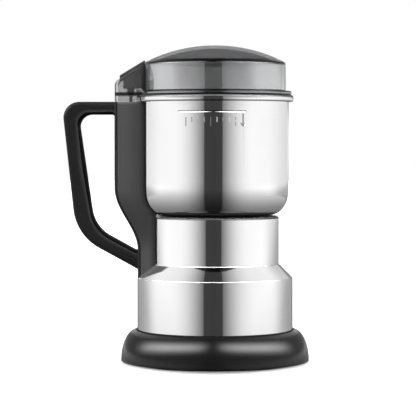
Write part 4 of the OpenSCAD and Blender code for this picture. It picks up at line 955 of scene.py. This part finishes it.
# %% Materials of the CAD's own solids
kept = {
    "gloss_black": ["bottom_plate"],
    "rubber_black": ["foot_ring", "cord_gland", "bowl_gasket", "shaft_seal", "wire_grommet"],
    "polished_steel": ["bowl_nut", "motor_shaft", "blade_spacer", "upper_bearing", "lower_bearing"],
    "blade_steel": ["lower_blade", "upper_blade", "blade_cap"],
    "zinc_steel": ["base_screws", "column_screws", "grip_screw", "brush_springs", "motor_bolts", "switch_lever"],
    "white_nylon": ["terminal_block", "switch_plunger", "switch_button"],
    "fan_nylon": ["cooling_fan"],
    "switch_black": ["microswitch", "switch_leads"],
    "clear_silicone": ["lid_seal"],
    "cast_alloy": ["upper_bracket", "lower_bridge"],
    "stack_iron": ["stator_core", "rotor_core"],
    "copper_wire": ["field_coils", "rotor_winding"],
    "copper_bars": ["commutator"],
    "brass_sheet": ["brush_holders"],
    "carbon_grey": ["carbon_brushes"],
}
for finish_name, names in kept.items():
    for name in names:
        for place in nodes[name].material_slots:
            place.material = bpy.data.materials[finish_name]
in_the_handle = ("microswitch", "switch_leads", "switch_plunger", "switch_button", "switch_lever", "grip_screw",
                 "column_screws", "wire_grommet")
for name in in_the_handle:
    nodes[name].visible_glossy = False
print("kept nodes:", sum(len(names) for names in kept.values()))

# %% [markdown]
# ## Floor
# The mill stands on white paper. Seen by the camera the paper is white, apart from a painted contact shadow, a soft
# dark ring close round the base, where little light gets in. Mirrors look through it, because the room below has its
# own floor.

# %% Floor
floor_mesh = bmesh.new()
bmesh.ops.create_circle(floor_mesh, cap_ends=True, segments=96, radius=6000)
floor = piece("floor", floor_mesh)
paper = Finish("white_paper", grey(0.92), 0.9)
by_camera, through_clear, by_mirror = paper.path("Is Camera Ray", "Is Transmission Ray", "Is Glossy Ray")
painted_shadow_wide, painted_shadow_long = 0.0645, 0.090
sideways, forward, _ = paper.axes(paper.place)
away = ((sideways / painted_shadow_wide).size() ** 2 + (forward / painted_shadow_long).size() ** 2) ** 0.5
# Painted contact shadow: darker paper that glows less close round the base.
shade = away.step(0.76, 1.06)
paper.set(Base_Color=paper.colours(shade, grey(0.30), grey(0.92)))
paper.set(Emission_Color=by_camera.most(through_clear) * shade * 0.8, Emission_Strength=1)
blend = paper.node("MixShader", n0=by_mirror, n1=Wire(paper.tree, paper.shader.outputs[0]),
                   n2=paper.wire("BsdfTransparent"))
paper.tree.links.new(blend.outputs[0], paper.tree.nodes["Material Output"].inputs["Surface"])
floor.data.materials.append(paper.material)
print("floor", round(floor.dimensions.x, 1), "m across")

# %% [markdown]
# ## The room that the steel mirrors
# Steel shows nothing but its surroundings, so the room is half of its look: white walls left and right, a dark gap
# between them behind the camera, a grey floor, and above the horizon a row of soft lamps. Real panels would need many
# pieces for such soft edges, so the room is made of curves over the mirrored direction. Two numbers describe that
# direction: `side` says how far round the mill the mirroring surface is turned, and `tilt` how far it leans back.
# `upright` is the tilt with the turn taken out, so that it is the same all round an upright wall.

# %% Directions
world = bpy.data.worlds.new("room")
bpy.context.scene.world = world
world.use_nodes = True
room = Tree(world.node_tree)
backdrop = world.node_tree.nodes["Background"]


def ramp(wire, *stops):
    """A curve over a wire, whose stops are (place, brightness)."""
    return room.wire("ValToRGB", {"stops": [(place, grey(value)) for place, value in stops]}, Fac=wire)


dx, dy, dz = room.axes(room.wire("TexCoord"))
guard, gap_shift = 0.0005, 0.025
turn = (dx / (1 + guard - dy) + gap_shift).size()
side = turn / (turn + 1)
tilt = dz / ((2 + guard - 2 * dy) ** 0.5)
lean = tilt * 0.5 + 0.5
plumb = tilt / (turn * turn + 1) ** 0.5
upright = plumb * 0.5 + 0.5
print("directions:", len(room.tree.nodes), "nodes")

# %% [markdown]
# ## Curves of the room
# From the gap at 0 each wall rises over a soft edge to white and falls off again to the far side. What the upright
# walls of the drum see, what the bowl sees above it and what its corner sees below differ a little, and the lid sees
# grey panels. The gap is equally wide in all of them.

# %% Walls
gap_edge = ((0, 0.045), (0.1075, 0.05), (0.111, 0.16), (0.167, 0.37), (0.219, 0.57), (0.27, 0.77), (0.318, 0.90),
            (0.366, 1.0))
walls = ramp(side, *gap_edge, (0.448, 1.06), (0.517, 1.12), (0.559, 1.05), (0.63, 0.77), (0.689, 0.66), (0.733, 0.60),
             (0.787, 0.66), (1, 0.30))
walls_low = ramp(side, *gap_edge, (0.5, 1.03), (0.56, 1.02), (0.60, 1.0), (0.7, 0.98), (1, 0.95))
walls_high = ramp(side, (0, 0.045), (0.1075, 0.05), (0.111, 0.19), (0.167, 0.42), (0.219, 0.63), (0.27, 0.82),
                  (0.318, 0.95), (0.366, 1.02), (0.517, 1.0), (0.58, 0.93), (0.657, 0.84), (0.787, 0.74),
                  (0.88, 0.85), (1, 0.85))
panels = ramp(side, (0, 0.05), (0.1075, 0.06), (0.111, 0.25), (0.161, 0.31), (0.22, 0.38), (0.29, 0.44),
              (0.345, 0.54), (0.385, 0.72), (0.43, 0.95), (0.46, 1.0), (0.787, 1.1), (1, 0.6))
print("walls from the gap at side 0 to", gap_edge[-1][0], "and on")

# %% Floor and lamp row
floor_shade = ramp(lean, (0, 0.12), (0.144, 0.19), (0.227, 0.26), (0.31, 0.37), (0.3865, 0.50), (0.4583, 0.65),
                   (0.4638, 0.75), (0.4718, 0.89), (0.477, 1.0), (0.515, 1.0), (0.53, 0.35), (0.78, 0.35),
                   (0.80, 0.88), (0.93, 0.88), (0.945, 0.14), (0.985, 0.14), (1, 0.30))
lamps = ramp(side, (0.01, 0.0), (0.06, 0.15), (0.113, 0.50), (0.163, 0.73), (0.21, 0.86), (0.27, 0.96), (0.38, 0.97),
             (0.42, 0.88), (0.462, 0.72), (0.5, 0.55), (0.528, 0.36), (0.556, 0.19), (0.59, 0.06), (0.636, 0.0))
row_drop = 0.0525
lamp_row = ramp(lean + turn * row_drop, (0.5975, 0.0), (0.61, 0.06), (0.63, 0.23), (0.6525, 0.61), (0.6725, 0.95),
                (0.69, 1.0), (0.705, 1.0), (0.735, 0.65), (0.7725, 0.27), (0.8025, 0.10), (0.825, 0.0))
print("curves:", sum(node.type == "VALTORGB" for node in room.tree.nodes))

# %% [markdown]
# ## One room
# Masks over the lean choose between the walls. A ray that has already met a mirror sees less of the room and none of
# the lamps, because in the narrow joint under the bowl it would meet the mill again. The camera itself sees white.

# %% Mixing the room
lamp_power, world_light, ceiling = 17.0, 0.45, 0.75
bowl_zone = ramp(upright, (0.482, 0.0), (0.485, 0.4), (0.4905, 0.4), (0.493, 1.0), (0.56, 1.0), (0.62, 0.3))
lid_zone = plumb.step(0.01045, 0.0106) * (1 - plumb.step(0.03, 0.05))
low_zone = 1 - upright.step(0.462, 0.474)
plain = walls + bowl_zone * (walls_high - walls) + low_zone * (walls_low - walls)
plain = plain + tilt.step(0.76, 0.84) * (ceiling - plain)
by_mirror, by_matt, mirrors_met = room.path("Is Glossy Ray", "Is Diffuse Ray", "Glossy Depth")
later = mirrors_met.step(1.2, 1.8)
mirrored = (plain + lid_zone * (panels - plain)) * floor_shade * (1 - 0.8 * later)
mirrored = mirrored + lamp_row * lamps * (1 - later) * lamp_power
strength = 1.0 + by_mirror * (mirrored - 1.0) + by_matt * (world_light - 1.0)
room.fill(backdrop, {"Strength": strength, "Color": (1, 1, 1, 1)})
print("room:", len(room.tree.nodes), "nodes")

# %% [markdown]
# ## Lamps
# Two soft boxes, left and right of the camera and above it, light the black parts and cast the soft shadow. Mirrors
# don't see them, since the room has its own lamp row.

# %% Lamps
for name, across in (("left_box", -0.75), ("right_box", 0.75)):
    lamp_data = bpy.data.lights.new(name, "AREA")
    lamp_data.size, lamp_data.energy = 0.5, 4.2
    lamp = bpy.data.objects.new(name, lamp_data)
    lamp.location = (across, -0.75, 0.95)
    lamp.rotation_euler = (Vector((0, 0, 0.09)) - lamp.location).to_track_quat("-Z", "Y").to_euler()
    lamp.visible_glossy = False
    bpy.context.scene.collection.objects.link(lamp)
print("lamps:", len(bpy.data.lights))
